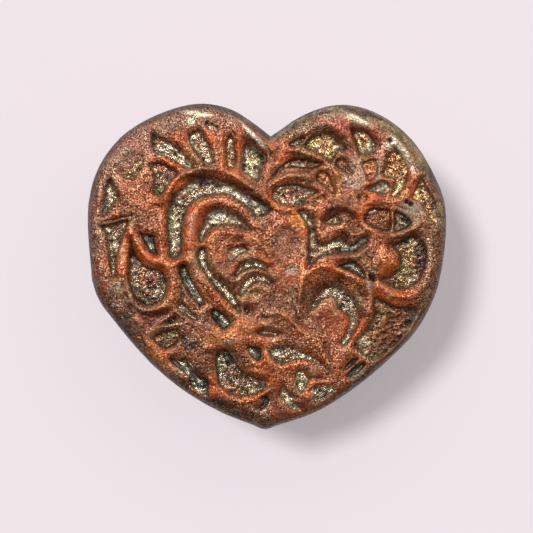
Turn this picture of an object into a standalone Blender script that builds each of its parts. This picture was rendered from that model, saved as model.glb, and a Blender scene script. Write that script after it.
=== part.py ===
"""Heart-shaped raku trinket box, slab-built in fired clay: a dish with a loose, carved lid.

The dish is a floor slab with a wall strip standing on it. The lid is a thick slab with rounded
shoulders and a low crown, and a clay flange below that drops inside the wall and keeps the lid
from sliding off. Nothing hinges: the lid lifts straight off along +Z.

Frame: +Z up, +Y towards the notch of the heart, origin under the middle of the outline's
bounding box, on the plane that the box stands on. Sizes below are in millimetres.
"""

from math import cos, pi, sin

import bpy
import numpy as np

MM = 0.001

# The outline of the lid, looked at from above, as the hand-cut slab has it.
NOTCH = (0.9, 32.4)
TIP = (-0.6, -40.6)
LEFT_SIDE = [
    NOTCH, (-4.0, 36.2), (-10.0, 39.6), (-18.0, 40.6), (-27.5, 37.9), (-36.2, 32.6),
    (-42.2, 24.5), (-44.7, 14.5), (-44.1, 1.0), (-42.6, -7.0), (-38.9, -12.6),
    (-30.7, -22.3), (-21.9, -30.1), (-11.7, -36.2), TIP,
]
RIGHT_SIDE = [
    TIP, (11.8, -36.4), (21.9, -30.2), (31.0, -22.5), (38.0, -14.8), (42.7, -4.5),
    (44.7, 9.5), (43.3, 19.2), (36.8, 30.9), (28.0, 38.0), (18.5, 40.4), (9.5, 38.0), NOTCH,
]
POINTS_PER_SIDE = 40
STEPS_PER_SPAN = 24
HEART_MIDDLE = np.array((0.0, 0.0))

# The dish.
FLOOR_THICKNESS = 5.0
RIM_HEIGHT = 27.0
WALL_THICKNESS = 5.0
RIM_SETBACK = 0.5
FOOT_SETBACK = 2.6
FOOT_FLARE_HEIGHT = 16.0
FOOT_EDGE = 0.8
RIM_EDGE = 1.0
COVE = 3.2

# The lid, with heights counted from the rim.
SIDE_HEIGHT = 4.3
SHOULDER_WIDTH = 3.5
SHOULDER_HEIGHT = 3.0
CROWN = 1.8
LID_EDGE = 1.0
FLANGE_DEPTH = 6.5
FLANGE_THICKNESS = 4.0
FLANGE_CLEARANCE = 1.1

# Luted and resting faces keep this much apart.
JOINT_GAP = 0.3

ARC_STEPS = 4
CROWN_STEPS = 5
HALVINGS = 30

COPPER_GLAZE = {"colour": (0.42, 0.13, 0.06, 1.0), "roughness": 0.35, "metallic": 0.75}
SMOKED_CLAY = {"colour": (0.045, 0.04, 0.038, 1.0), "roughness": 0.85, "metallic": 0.0}


def clear_scene():
    for obj in list(bpy.data.objects):
        bpy.data.objects.remove(obj)


def smooth_path(points):
    """A Catmull-Rom curve through the points, dense enough to measure along."""
    p = np.array(points, float)
    p = np.vstack([2 * p[0] - p[1], p, 2 * p[-1] - p[-2]])
    t = np.linspace(0, 1, STEPS_PER_SPAN, endpoint=False)[:, None]
    spans = []
    for a, b, c, d in zip(p, p[1:], p[2:], p[3:]):
        spans.append(
            b + 0.5 * t * ((c - a) + t * ((2 * a - 5 * b + 4 * c - d) + t * (3 * (b - c) + d - a)))
        )
    return np.vstack([*spans, p[-2]])


def evenly(path, count):
    """The path cut into `count` equal lengths, without its last point."""
    travelled = np.concatenate([[0], np.cumsum(np.linalg.norm(np.diff(path, axis=0), axis=1))])
    stops = np.linspace(0, travelled[-1], count, endpoint=False)
    return np.column_stack([np.interp(stops, travelled, path[:, k]) for k in (0, 1)])


def heart_outline():
    """The lid's outline, counter-clockwise from the notch, centred on its bounding box."""
    sides = [evenly(smooth_path(side), POINTS_PER_SIDE) for side in (LEFT_SIDE, RIGHT_SIDE)]
    outline = np.vstack(sides)
    return outline - (outline.max(0) + outline.min(0)) / 2


def depth_inside(points, outline):
    """How far each point is from the outline's nearest edge."""
    start = outline
    along = np.roll(outline, -1, axis=0) - start
    offset = points[:, None] - start
    share = np.clip((offset * along).sum(2) / (along**2).sum(1), 0, 1)
    return np.linalg.norm(offset - share[..., None] * along, axis=2).min(1)


def inset(outline, distance):
    """The outline moved inwards by `distance`: each point slides towards the heart's middle."""
    near = np.zeros(len(outline))
    far = np.ones(len(outline))
    for _ in range(HALVINGS):
        share = (near + far) / 2
        points = outline + share[:, None] * (HEART_MIDDLE - outline)
        deep = depth_inside(points, outline) >= distance
        far = np.where(deep, share, far)
        near = np.where(deep, near, share)
    return outline + far[:, None] * (HEART_MIDDLE - outline)


def arc(centre, radii, start, stop):
    """(inset, height) points along a quarter ellipse, with angles in units of pi."""
    angles = [pi * (start + (stop - start) * k / ARC_STEPS) for k in range(ARC_STEPS + 1)]
    return [(centre[0] + radii[0] * cos(a), centre[1] + radii[1] * sin(a)) for a in angles]


def wall_setback(height):
    """How far the dish's outer face stands inside the lid's outline: the wall swells from its foot."""
    below = max(0.0, 1 - height / FOOT_FLARE_HEIGHT)
    return RIM_SETBACK + FOOT_SETBACK * below**2


def material(name, look):
    made = bpy.data.materials.new(name)
    made.use_nodes = True
    shader = made.node_tree.nodes["Principled BSDF"]
    shader.inputs["Base Color"].default_value = look["colour"]
    shader.inputs["Roughness"].default_value = look["roughness"]
    shader.inputs["Metallic"].default_value = look["metallic"]
    made.diffuse_color = look["colour"]
    return made


def add_part(name, rings, faces, body, look):
    """One solid from rings of (x, y, z) points in millimetres, placed under its body's empty."""
    mesh = bpy.data.meshes.new(name)
    points = np.vstack(rings) * MM - np.array(body.location)
    mesh.from_pydata(points.tolist(), [], faces)
    mesh.materials.append(look)
    mesh.shade_smooth()
    mesh.set_sharp_from_angle(angle=pi / 5)
    part = bpy.data.objects.new(name, mesh)
    part.parent = body
    bpy.context.scene.collection.objects.link(part)
    return part


def bands(ring_count, points_per_ring, closed):
    """Quads between each ring and the next, and from the last back to the first if closed."""
    faces = []
    for k in range(ring_count if closed else ring_count - 1):
        low = k * points_per_ring
        high = (k + 1) % ring_count * points_per_ring
        for i in range(points_per_ring):
            j = (i + 1) % points_per_ring
            faces.append((low + i, low + j, high + j, high + i))
    return faces


def ring_at(outline, distance, height):
    """The outline moved inwards, at a height."""
    flat = inset(outline, distance) if distance > 0 else outline
    return np.column_stack([flat, np.full(len(flat), height)])


def add_slab(name, outline, profile, crown_rings, body, look):
    """A plate that fills the outline: its underside is flat, its edge follows the profile upwards."""
    rings = [ring_at(outline, *step) for step in profile] + crown_rings
    count = len(outline)
    faces = [tuple(reversed(range(count)))] + bands(len(rings), count, closed=False)
    last = (len(rings) - 1) * count
    if crown_rings:
        top = rings[-1].mean(0)
        middle = len(rings) * count
        rings.append(np.array([[*HEART_MIDDLE, top[2]]]))
        faces += [(last + i, last + (i + 1) % count, middle) for i in range(count)]
    else:
        faces.append(tuple(range(last, last + count)))
    return add_part(name, rings, faces, body, look)


def add_band(name, outline, profile, body, look):
    """A closed strip that follows the outline: its section is the profile, outer face going up."""
    rings = [ring_at(outline, *step) for step in profile]
    return add_part(name, rings, bands(len(rings), len(outline), closed=True), body, look)


def add_floor(outline, body, look):
    """The slab that the box stands on, its foot softened by a sponge."""
    edge = arc((wall_setback(0) + FOOT_EDGE, FOOT_EDGE), (-FOOT_EDGE, -FOOT_EDGE), 0.5, 0)
    profile = [*edge, (wall_setback(FLOOR_THICKNESS), FLOOR_THICKNESS)]
    add_slab("base_floor", outline, profile, [], body, look)


def add_wall(outline, body, look):
    """The strip round the floor: rounded at the rim, with a smeared cove inside at its foot."""
    foot = FLOOR_THICKNESS + JOINT_GAP
    shoulder = RIM_HEIGHT - RIM_EDGE
    heights = np.linspace(foot, shoulder, 5)
    inner = RIM_SETBACK + WALL_THICKNESS
    outer_face = [(wall_setback(z), z) for z in heights[:-1]]
    rim = arc((RIM_SETBACK + RIM_EDGE, shoulder), (-RIM_EDGE, RIM_EDGE), 0, 0.5)
    rim += arc((inner - RIM_EDGE, shoulder), (RIM_EDGE, RIM_EDGE), 0.5, 0)
    cove = arc((inner + COVE, foot + COVE), (-COVE, -COVE), 0, 0.5)
    add_band("base_wall", outline, outer_face + rim + cove, body, look)


def add_lid_slab(outline, body, look):
    """The carved slab at the height of its uncarved face: soft lower edge, round shoulder, crown."""
    underside = RIM_HEIGHT + JOINT_GAP
    side_top = RIM_HEIGHT + SIDE_HEIGHT
    profile = arc((LID_EDGE, underside + LID_EDGE), (-LID_EDGE, -LID_EDGE), 0.5, 0)
    radii = (-SHOULDER_WIDTH, SHOULDER_HEIGHT)
    profile += arc((SHOULDER_WIDTH, side_top), radii, 0, 0.5)
    rim_of_crown = inset(outline, SHOULDER_WIDTH)
    crown_rings = []
    for k in range(1, CROWN_STEPS):
        share = 1 - k / CROWN_STEPS
        height = side_top + SHOULDER_HEIGHT + CROWN * (1 - share**2)
        flat = HEART_MIDDLE + share * (rim_of_crown - HEART_MIDDLE)
        crown_rings.append(np.column_stack([flat, np.full(len(flat), height)]))
    add_slab("lid_slab", outline, profile, crown_rings, body, look)


def add_flange(outline, body, look):
    """The clay strip under the lid that drops inside the wall, its lower edge rounded to lead it in."""
    outer = RIM_SETBACK + WALL_THICKNESS + FLANGE_CLEARANCE
    half = FLANGE_THICKNESS / 2
    bottom = RIM_HEIGHT - FLANGE_DEPTH
    nose = [(outer + half - x, z) for x, z in arc((0, bottom + half), (half, half), 2, 1)]
    profile = [(outer + FLANGE_THICKNESS, RIM_HEIGHT), (outer, RIM_HEIGHT)]
    profile += nose
    add_band("lid_flange", outline, list(reversed(profile)), body, look)


def add_body(name, height):
    """An empty that carries the pieces of one body. The lid's is on the line along which it lifts."""
    empty = bpy.data.objects.new(name, None)
    empty.location = (0, 0, height * MM)
    bpy.context.scene.collection.objects.link(empty)
    return empty


def build():
    clear_scene()
    glaze = material("copper_glaze", COPPER_GLAZE)
    clay = material("smoked_clay", SMOKED_CLAY)
    outline = heart_outline()
    base = add_body("base_body", 0)
    lid = add_body("lid_body", RIM_HEIGHT)
    add_floor(outline, base, glaze)
    add_wall(outline, base, glaze)
    add_lid_slab(outline, lid, glaze)
    add_flange(outline, lid, clay)


build()
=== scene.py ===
"""Looks of the heart-shaped raku box: a carved, copper-lustred lid and the dish that it sits on.

Lengths are in millimetres until a mesh is made. The frame is the CAD's: +Z up, +Y to the notch.
"""

import itertools
from math import cos, pi, radians, sin

import bpy
import numpy as np
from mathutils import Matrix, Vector


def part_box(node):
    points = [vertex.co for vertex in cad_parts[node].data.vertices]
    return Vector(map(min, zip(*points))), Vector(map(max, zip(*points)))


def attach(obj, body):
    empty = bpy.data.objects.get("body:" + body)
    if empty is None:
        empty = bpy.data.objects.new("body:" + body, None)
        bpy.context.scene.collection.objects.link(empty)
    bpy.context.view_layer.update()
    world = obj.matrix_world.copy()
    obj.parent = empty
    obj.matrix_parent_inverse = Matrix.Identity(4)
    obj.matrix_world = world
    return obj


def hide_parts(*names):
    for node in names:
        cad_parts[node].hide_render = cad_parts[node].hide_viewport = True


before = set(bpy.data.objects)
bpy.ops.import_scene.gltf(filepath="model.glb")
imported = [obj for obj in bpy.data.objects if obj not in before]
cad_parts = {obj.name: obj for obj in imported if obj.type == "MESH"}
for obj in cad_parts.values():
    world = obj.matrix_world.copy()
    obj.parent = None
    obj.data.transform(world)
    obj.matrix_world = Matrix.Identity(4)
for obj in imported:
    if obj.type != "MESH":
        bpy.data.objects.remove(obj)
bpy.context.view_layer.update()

MM = 0.001

# The frame's own sizes.
LID_LOW, LID_HIGH = (np.array(corner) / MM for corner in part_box("lid_slab"))
FLANGE_LOW, FLANGE_HIGH = (np.array(corner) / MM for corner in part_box("lid_flange"))
WALL_HIGH = np.array(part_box("base_wall")[1]) / MM
FLOOR_HIGH = np.array(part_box("base_floor")[1]) / MM
UNDERSIDE = LID_LOW[2]
RIM_HEIGHT = WALL_HIGH[2]
DISH_FLOOR = FLOOR_HIGH[2]
RIM_SETBACK = LID_HIGH[0] - WALL_HIGH[0]
FOOT_SETBACK = LID_HIGH[0] - FLOOR_HIGH[0]
FLANGE_SETBACK = LID_HIGH[0] - FLANGE_HIGH[0]
WALL_THICKNESS = 5.0
FLANGE_THICKNESS = 4.0

# The lid's plain form, before carving.
SHOULDER_WIDTH = 3.5
SHOULDER_HEIGHT = 3.0
CROWN = 1.8
SIDE_TOP = LID_HIGH[2] - SHOULDER_HEIGHT - CROWN
LOWER_EDGE = 1.0

# The carved top is a square grid bent into the heart: its rings, the points of the outermost one,
# and how many of the outer rings crowd together over the shoulder.
LID_RINGS = 136
AROUND = 8 * LID_RINGS
SHOULDER_RINGS = 18

# The clay rounds off towards each cut, over this width and by this share of the cut's depth. It
# rounds off no more beside cuts that are deeper than ROLL_DEEPEST. A pinhole only dimples the glaze.
ROLL_WIDTH = 1.7
ROLL_DROP = 0.5
ROLL_DEEPEST = 1.2
PINHOLE_DROP = 0.1

# Walls of slits and pinholes, the least width of any wall, and the depth of a pinhole. The finish of
# a floor begins at one share of its wall's depth and is full at the other.
SLIT_WALL = 0.4
PINHOLE_WALL = 0.15
STEEPEST_WALL = 0.3
PINHOLE_DEPTH = 0.9
FINISH_BEGINS, FINISH_GAIN = 0.5, 1.6

# Glaze pools dark in the corners of a cut, darkened further as painted shade: the width of the pool,
# the most of the wall's width that it takes, its value in the corner, and how much faster it thins
# out on a floor than on a wall.
POOL_WIDTH = 0.66
POOL_OF_WALL = 0.75
POOL_START = 1.35
POOL_THINNING = 1.6

# A streak of runny glaze, which is also painted pale as a highlight, is this high.
STREAK_HEIGHT = 0.22

# The visible edge bulges this far past the CAD's, and dies out over this width.
EDGE_BULGE = 0.3
BULGE_WIDTH = 3.0

# The carving fades out over this width of the edge, where this share of the slab's lumps stays.
CARVING_FADE = 2.2
EDGE_LUMPS = 0.4

# Crests and arrises: how often the relief is averaged to find them, the height that counts as full,
# and how much painted light that puts on the copper: painted highlights on crests and arrises, and
# painted shade in the hollows between them.
CREST = (60, 0.6, 0.22)
ARRIS = (9, 0.07, 0.14)

# The wrinkled stippling of the cut floors: its height, and how its light and shade colour the floor.
TOOLING_HEIGHT = 0.9
TOOLING_SHADE = 0.55
FLOOR_LIGHT = 0.30
FLOOR_EDGES = 0.7

# How the grey of the shoulder, the band round the rim and the painted shade of the lip fade inwards:
# (value at the edge, width). The band has the widths in RIM_WIDTHS.
GREY_FADE = (1.5, 3.5)
BAND_START = 1.5
LIP_FADE = (1.2, 0.55)

# The rim's band, brown and olive glaze with painted shade of the rounded edge: how far it covers what
# is below, the angle of its olive side, painted lighter where the light falls, and how wide that is,
# and the strength of its streaks, to which the olive side adds.
BAND_COVER = 0.85
OLIVE_SIDE = 64.0
OLIVE_WIDTH = 2.2
BAND_STREAKS, OLIVE_STREAKS = 0.35, 0.5
STREAK_CONTRAST = 1.6

# The streaks run across the edge: this many millimetres of noise are laid once round it.
STREAKS_AROUND = 44.0

# Shiny runs, glossier glaze painted pale as a highlight: their strength, and how much the streaks
# break them up.
SHINE_GAIN = 1.5
SHINE_BREAKS = 0.8

# The gold painted highlight along the arrises begins at this height of an arris and grows this fast.
HIGHLIGHT_BEGINS, HIGHLIGHT_GAIN = 0.9, 2.0

# How dark the painted shade on the walls of the cuts is, and how dark the pools in their corners are,
# pooled glaze with painted shade.
WALL_DARK = 0.35
POOL_DARK = 0.75

# Stippling higher than this has copper pockets, and at this height the glaze has fully crawled.
POCKETED = 0.15
CRAWLED = 0.2

# Sparkle, the share of grain and flecks, whose pale and gold flecks are partly painted glints: its least,
# what an arris adds, as more painted glints on the crests, and how it follows the brightness of the
# colour. Runny glaze is smoother by a share.
LEAST_SPARKLE = 0.08
ARRIS_SPARKLE = 0.2
LEAST_LIVELY = 0.1
LIVELY_GAIN, LIVELY_LOSS = 1.1, 0.1
WET_SMOOTHNESS = 0.3

# Metal and roughness of the raised copper, before anything is laid over it.
COPPER_METAL = 0.56
COPPER_ROUGH = 0.27

# What each mark on the lid does: (share of metal lost, roughness gained, share of sparkle lost).
MARKS = {
    "rim": (0.4, 0.10, 0.6),
    "pool": (0.5, 0.00, 0.0),
    "dull": (0.8, 0.25, 0.0),
    "wall": (0.0, 0.08, 0.0),
    "gloss_and_highlight": (0.0, -0.12, 1.0),
    "lip": (0.0, 0.20, 0.0),
    "floor": (0.0, 0.00, 0.7),
}

# Glazed and bare clay away from the lid's top: value: (on bare clay, on glaze).
PLAIN_VALUES = {"metal": (0.05, 0.5), "rough": (0.8, 0.42), "sparkle": (0.1, 0.25), "crawl": (0.0, 0.0)}
BARE_VALUES = {"metal": 0.0, "rough": 0.85, "sparkle": 0.1, "crawl": 0.0}

# Uneven things: name: (middle value, strength, width of the lumps, seed, octaves).
UNEVEN = {
    "wrinkle_drift_x": (0.0, 0.45, 1.7, 61, 1), "wrinkle_drift_y": (0.0, 0.45, 1.7, 62, 1),
    "wrinkle_folds": (0.0, 1.0, 0.85, 63, 1), "wrinkle_grain": (0.0, 0.3, 0.6, 64, 1),
    "lid_lumps": (0.0, 0.18, 5.0, 11, 2), "lid_dents": (0.0, 0.09, 1.7, 12, 2),
    "patch_edges": (0.0, 0.3, 1.8, 22, 2), "grey": (0.45, 0.8, 1.3, 23, 2),
    "rim_edge": (0.0, 0.3, 2.6, 24, 2), "sparkle": (0.54, 0.9, 5.0, 25, 2),
    "pockets": (0.35, 0.9, 1.3, 26, 2), "olive_edge": (-1.2, 0.5, 2.0, 28, 2),
    "streak_breaks": (0.8, 1.0, 1.1, 29, 2), "arris_highlight": (0.35, 1.1, 3.0, 30, 2),
    "brushed": (0.0, 1.0, 0.7, 31, 2), "side_lumps": (0.0, 0.14, 4.0, 32, 2),
    "side_darkening": (0.0, 0.4, 3.0, 34, 2),
    "collar_lumps": (0.12, 0.16, 6.0, 41, 2), "collar_dents": (0.0, 0.05, 1.4, 42, 1),
    "collar_smoke": (0.5, 0.6, 4.0, 43, 2),
    "dish_sway": (-0.25, 0.42, 11.0, 51, 1), "dish_lumps": (0.0, 0.16, 4.0, 52, 2),
    "dish_dents": (0.0, 0.04, 1.2, 53, 1), "floor_lumps": (0.0, 0.12, 5.0, 54, 2),
    "rosy": (0.3, 0.9, 12.0, 56, 2), "olive": (0.0, 0.9, 8.0, 57, 2),
    "dish_darkening": (1.1, 0.7, 5.0, 58, 2), "inside_darkening": (0.55, 0.7, 7.0, 59, 2),
    "bare_edge": (1.0, 0.35, 3.0, 60, 1),
}

# Seeds of the mottled firing, and how it goes: lumps and middle value and strength of the drift to
# brown, and lumps and strength of the darker clouds.
LID_FIRING = 21
SIDE_FIRING = 33
DISH_FIRING = 55
BROWNING = (7.0, 0.45, 0.8)
CLOUDS = (2.2, 0.16)

# In these tables, outlines and lines are text: "x,y x,y" and so on.

# Cuts in the lid: name: (depth, width of the wall, finish of the floor, outline seen from above).
CUTS = {
    "left_lens": (1.1, 0.5, "silver",
        "-39.2,22 -38.3,20.2 -37,17 -38.3,15.7 -41,12.3 -40.6,17 -40.2,19.8"),
    "star_bowl": (0.6, 1, "honey",
        "-37.2,23.6 -36.2,22.5 -33.6,21.4 -32.3,22.8 -30.2,25.6 -30.4,27 -32.3,27.8 -34.6,27.2 -36.2,25.4"),
    "star_notch": (1.1, 0.5, "mixed",
        "-29.6,25.6 -28.5,23.4 -28.3,21.5 -28.6,18.6 -27.2,17.6 -25.7,18.5 -24.9,19.8 -23.6,21.5 "
        "-22.1,23.2 -24.5,25.1 -26.8,26"),
    "petal_1": (1.2, 0.5, "silver",
        "-28.7,32.8 -25.7,31.8 -23.6,30.7 -21.5,29 -18.5,25.4 -19.8,24.1 -21.5,25.1 -24.9,27.3 -27.9,28.1 "
        "-28.5,29.8"),
    "petal_2": (1.1, 0.5, "silver",
        "-19.7,32 -18.9,33.4 -17.2,34.1 -16.1,33.5 -14.4,30.1 -13.5,26.2 -14.4,25.4 -15.5,25.4 -17.6,28.3 "
        "-19.1,30.1"),
    "petal_spot": (0.5, 0.55, "mixed",
        "-15.2,35.6 -13.6,35.7 -12.2,34.6 -12.2,33.4 -13.6,33.6 -15,34.4"),
    "petal_3": (1.3, 0.45, "gold",
        "-9.6,32.6 -8.4,32.2 -8,29.2 -7.8,27.1 -8.2,24.6 -9.9,24.9 -10.3,28.8 -10.3,30.9"),
    "petal_4": (1.6, 0.5, "pale",
        "-6.2,31.3 -4.6,31.6 -3,31 0.3,28.4 0.6,27 -0.3,25 -2,20.7 -4,22.4 -6.1,23.8 -6,27"),
    "outer_arch": (1.3, 0.5, "silver",
        "-24.7,3.2 -25.2,9.6 -25.3,13.9 -23.8,17.5 -21.9,20.6 -19,22.7 -15,23.4 -9.9,22.4 -7.4,21 "
        "-4.8,19.3 -1,16.6 1.6,14.3 0.7,13.5 -2.7,12.1 -4.2,14.1 -8.2,16.8 -10.3,17.9 -14.4,17.6 "
        "-17.6,16.4 -19.7,14.3 -20.9,10 -21.1,4.1 -21.9,2.3 -23.4,1.8"),
    "inner_arch": (1.2, 0.5, "pale",
        "-16.7,5.8 -17.4,7.4 -17.2,9 -15.5,13 -13.8,14.4 -12.1,14.8 -10.1,14.6 -8,13.7 -5.9,11.9 -3.5,8.8 "
        "-5,9.2 -6.5,9.9 -9.1,10.2 -12.9,9.8 -14.4,9 -15.9,6.4"),
    "long_slot": (1.3, 0.5, "teal",
        "-16.5,4.7 -17.5,3.4 -17.2,1.5 -14.8,-2.8 -11.4,-6.8 -7.8,-10.5 -6.3,-11.8 -6.8,-10.2 -8.2,-7 "
        "-9.1,-5.5 -12.5,-2.8 -14,-1.1 -14.8,1.1 -14.9,3.2 -15.5,4.7"),
    "slot_pit": (1.1, 0.35, "black",
        "-5.8,-10.6 -5,-10.2 -4.3,-10.9 -4.6,-11.7 -5.4,-11.7"),
    "slant_slot_1": (1.4, 0.5, "black",
        "-21,0.6 -22,-0.6 -21.7,-2.8 -19.5,-7 -18,-8.7 -16.6,-10 -15.4,-9.2 -16.1,-7.3 -18.7,-3.2 "
        "-19.6,-0.9 -20.2,0.3"),
    "slant_slot_2": (1.4, 0.5, "black",
        "-13.8,-10.7 -14.1,-11.9 -13.1,-13.7 -11.8,-15.1 -10.6,-15.8 -9.3,-14.9 -9,-13.7 -10.1,-12.2 "
        "-11.4,-11.3 -12.7,-10.5"),
    "teardrop": (1.4, 0.55, "mixed",
        "-34,7.2 -33.2,4.5 -32.1,2.3 -30.6,0.4 -28.9,-0.4 -26.8,-0.6 -25.3,-2.1 -24.8,-4.1 -25,-6.2 "
        "-26.2,-8.3 -27.9,-9.6 -29.8,-9.8 -31.5,-9.2 -33,-7.7 -34.1,-5.5 -34.5,-2.8 -34.5,1.1 -34.4,4.1"),
    "small_triangle": (1.2, 0.5, "black",
        "-32.3,9.5 -31.1,8.4 -28.3,7.9 -27.9,6.4 -27.3,3 -28.9,3.4 -30.2,4.9 -31.7,7.9"),
    "left_spike": (1.4, 0.5, "silver",
        "-41.5,10.1 -38.5,10.8 -34.9,11.6 -35.1,9.8 -36.6,5.3 -37.7,1.1 -37.9,-2.1 -38.2,-3 -39,-1.1 "
        "-39.8,4.1 -40.5,8.5"),
    "wedge": (0.8, 0.45, "olive",
        "-26.1,-14.4 -24.4,-13.3 -22.9,-12.1 -22.6,-13.2 -23,-14.1 -24.6,-14.3"),
    "round_pocket": (1.2, 0.5, "olive",
        "-28.6,-17.9 -26.8,-16.4 -24.6,-15.8 -22.4,-15.4 -21.6,-17 -21.9,-18.1 -24,-20.2 -25.3,-20.6 "
        "-26.8,-19.8"),
    "striped_wedge": (0.8, 0.4, "silver",
        "-21.7,-9 -22.4,-10.7 -20.8,-11.7 -18.3,-13.3 -17.3,-13 -18.7,-11.5 -20.4,-9.9"),
    "scoop": (0.9, 0.45, "black",
        "-20.2,-22.8 -18.7,-25.4 -17,-27.1 -14.7,-28.1 -14.5,-30.3 -15,-32 -17,-31.5 -19.1,-29.8 "
        "-19.5,-27.7 -21.7,-25.8 -24.3,-23.7 -23.8,-22.6 -21.9,-23.2"),
    "paisley": (1.4, 0.55, "mixed",
        "-11.4,-20.6 -9.8,-20.7 -8.5,-22.4 -7.3,-24.6 -6,-26 -4.1,-26.9 -1.5,-27.7 -0.2,-28.6 -0.6,-30.3 "
        "-1.9,-31.5 -4.1,-32.2 -6.6,-32.5 -9,-32 -10.9,-30.6 -12.1,-29.2 -12.4,-27.1 -12.8,-25 -12.6,-22"),
    "chip_left": (1.1, 0.4, "black",
        "-5,-19.8 -3.2,-19.9 -1.4,-20.2 -1.3,-21.7 -2,-23.6 -3.2,-23 -4.3,-21.9"),
    "fish": (1.3, 0.5, "silver",
        "0.5,-21.1 1.5,-20.1 3.2,-19.7 5.5,-19.5 7.5,-20.4 9.6,-21.6 11.7,-22.7 13.9,-24.4 11.7,-23.8 "
        "9.6,-23.3 7.5,-23.2 5.3,-23.9 3.8,-24.4 2.3,-23.7 1.1,-22.4"),
    "hook": (1.1, 0.4, "pale",
        "7.2,-26.3 8.3,-25.7 9.6,-26.1 9.9,-27.2 10.8,-27.9 10.2,-29 9.6,-30.5 8.7,-31.3 7.7,-30.7 "
        "7.3,-29.2 6.9,-27.7"),
    "olive_patch": (0.45, 0.8, "silver",
        "11.2,-29.8 13.4,-29.3 16.6,-29.6 17.8,-30.4 16.6,-31.9 14.4,-33.3 12.2,-34.3 10.4,-33.9 "
        "11.2,-32.4 10.6,-31.2"),
    "tip_cut": (0.8, 0.4, "pale",
        "4.1,-29.3 4.7,-30.5 5.8,-32 7.6,-32.6 6.6,-33.3 7.5,-34.5 8.8,-35.2 6.9,-36 5.3,-35 4.5,-33.7 "
        "3.3,-32.6 3.3,-30.7"),
    "tip_pit": (0.9, 0.35, "black",
        "-1.5,-32.6 -0.2,-32.3 0.6,-33 0.2,-34.4 -0.9,-35.6 -2,-35.2 -1.2,-34"),
    "horseshoe": (1.3, 0.45, "silver",
        "11,-10.2 11.9,-7.7 13.2,-6.2 14.9,-5.1 17.1,-4.8 18.8,-5.3 20.5,-6.8 22,-8.5 22.8,-10.5 "
        "22.9,-12.6 22.5,-14.6 21.5,-16.8 20.5,-18.4 19.3,-19.8 18.2,-19.2 18.8,-17.6 20.1,-15.6 20.5,-13 "
        "19.5,-11.6 17.9,-10.7 17.1,-8.3 15.6,-7.7 14.1,-8.1 12.8,-9.2 11.6,-10.8"),
    "dark_triangle": (1.3, 0.5, "black",
        "17.5,0.2 19.8,1.1 21.5,1.6 22.8,0.6 23.9,-0.6 24.6,-2.3 24.3,-3.4 22.6,-2.3 20.5,-1.3 18.8,-0.5"),
    "valley": (1.3, 0.5, "silver",
        "7.3,13.9 9.6,10.9 10.2,7 10.4,0 12.2,0.9 13.7,2.1 17.7,3.2 21.5,3.4 23.9,4.9 25.6,6.3 25.2,7.8 "
        "23.7,7.7 21.3,5.6 19.2,7.9 17.5,8.1 15.4,6.8 13.7,6.2 12.6,7.9 12.2,11.7 11.1,13.2 8.8,14.6"),
    "pit_right": (0.9, 0.45, "gold",
        "14.6,11 16,12.1 18,12.4 18.7,11.4 17.5,10.6 15.8,10.4"),
    "leaf_eye": (1.3, 0.5, "mixed",
        "1.1,18.3 1.7,19.6 3.8,20.5 6.8,20.8 9.2,20.2 12.9,18.5 11.5,17.9 10,16.8 8.5,14.6 6.4,15.1 "
        "4.3,15.3 2.1,16 1.2,17"),
    "leaf_crescent": (1, 0.55, "bronze",
        "0.9,21 1.3,22.8 2.6,24.5 4.7,26.2 7,27.1 9.6,27.1 11.9,26.4 14.4,25.6 12.8,24.9 11.1,24.3 "
        "8.5,24.5 5.5,24.5 3.4,23.7 1.9,22.4"),
    "dome_petal": (1.4, 0.5, "honey",
        "9.1,29.8 9.8,31.3 11.3,33 13.4,34.1 15.6,34.1 17.7,33 19.2,31.3 20.4,29.4 19.2,28.8 18.1,29.2 "
        "17.5,28.3 15.8,25.9 13.9,27.3 11.9,28.3"),
    "upper_petal": (1.3, 0.5, "honey",
        "20.6,34.4 22.4,34.9 24.5,34.2 26.1,33 27.4,31.2 28.1,29 27.4,27.8 25.2,27.4 23.2,27.6 22.3,29 "
        "21.7,31.4"),
    "right_petal": (1.2, 0.5, "honey",
        "29.7,27.1 30.9,28.6 32.2,29.2 33.7,28.1 34.8,26.4 35.4,24.7 35.2,22.8 34.1,19.6 32.9,17.9 "
        "31.6,17.2 30.8,18.1 31.6,20.2 31.6,21.7 28.8,22.8 29.5,25"),
    "copper_dish": (0.9, 0.55, "copper",
        "23.5,25.6 25,26.4 26.7,26.9 27.6,25.8 27.7,23.9 27.1,22.2 25.6,21.4 24.5,22.6 23.9,24.1"),
    "oval_cut": (1.1, 0.5, "copper",
        "17.1,26 17.9,26.9 19.2,26.9 20.3,25.6 21.5,23.2 20.7,22.5 19.4,23.2 18.1,24.3 17.1,25"),
    "grey_teardrop": (0.9, 0.5, "grey",
        "25.1,19 26.7,20.5 28.2,21.4 29.9,21.1 30.9,19.8 30.5,18.5 28.8,17.8 27.1,18.5"),
    "outer_right": (0.7, 0.5, "honey",
        "38.6,22.3 39.5,20.7 41.6,17 42.5,14.9 42.9,12.1 42.2,10.4 40.7,11.7 39.3,13.6 38.2,15.8 36.5,16.8 "
        "36.3,18.1 38,21.3"),
    "eye": (1.2, 0.5, "amber",
        "24.3,12.5 25.6,14.5 27.7,14.6 30.7,14.2 30.9,12 30.7,9 27.9,9.2 26,10 24.3,10.9"),
    "eye_corner": (1.2, 0.45, "olive",
        "31.8,13.8 34.1,13.2 35.6,12.1 36.2,10.9 35,9.6 33.5,9 31.7,8.9 31.5,11.4"),
    "big_crescent": (1.4, 0.55, "gold",
        "36.3,8.3 34.8,7.5 32.6,6.5 30.7,5.5 30.9,4.5 32.2,3.5 32.7,1.8 32.4,0.1 31.1,-1.2 29.7,-2.3 "
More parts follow.
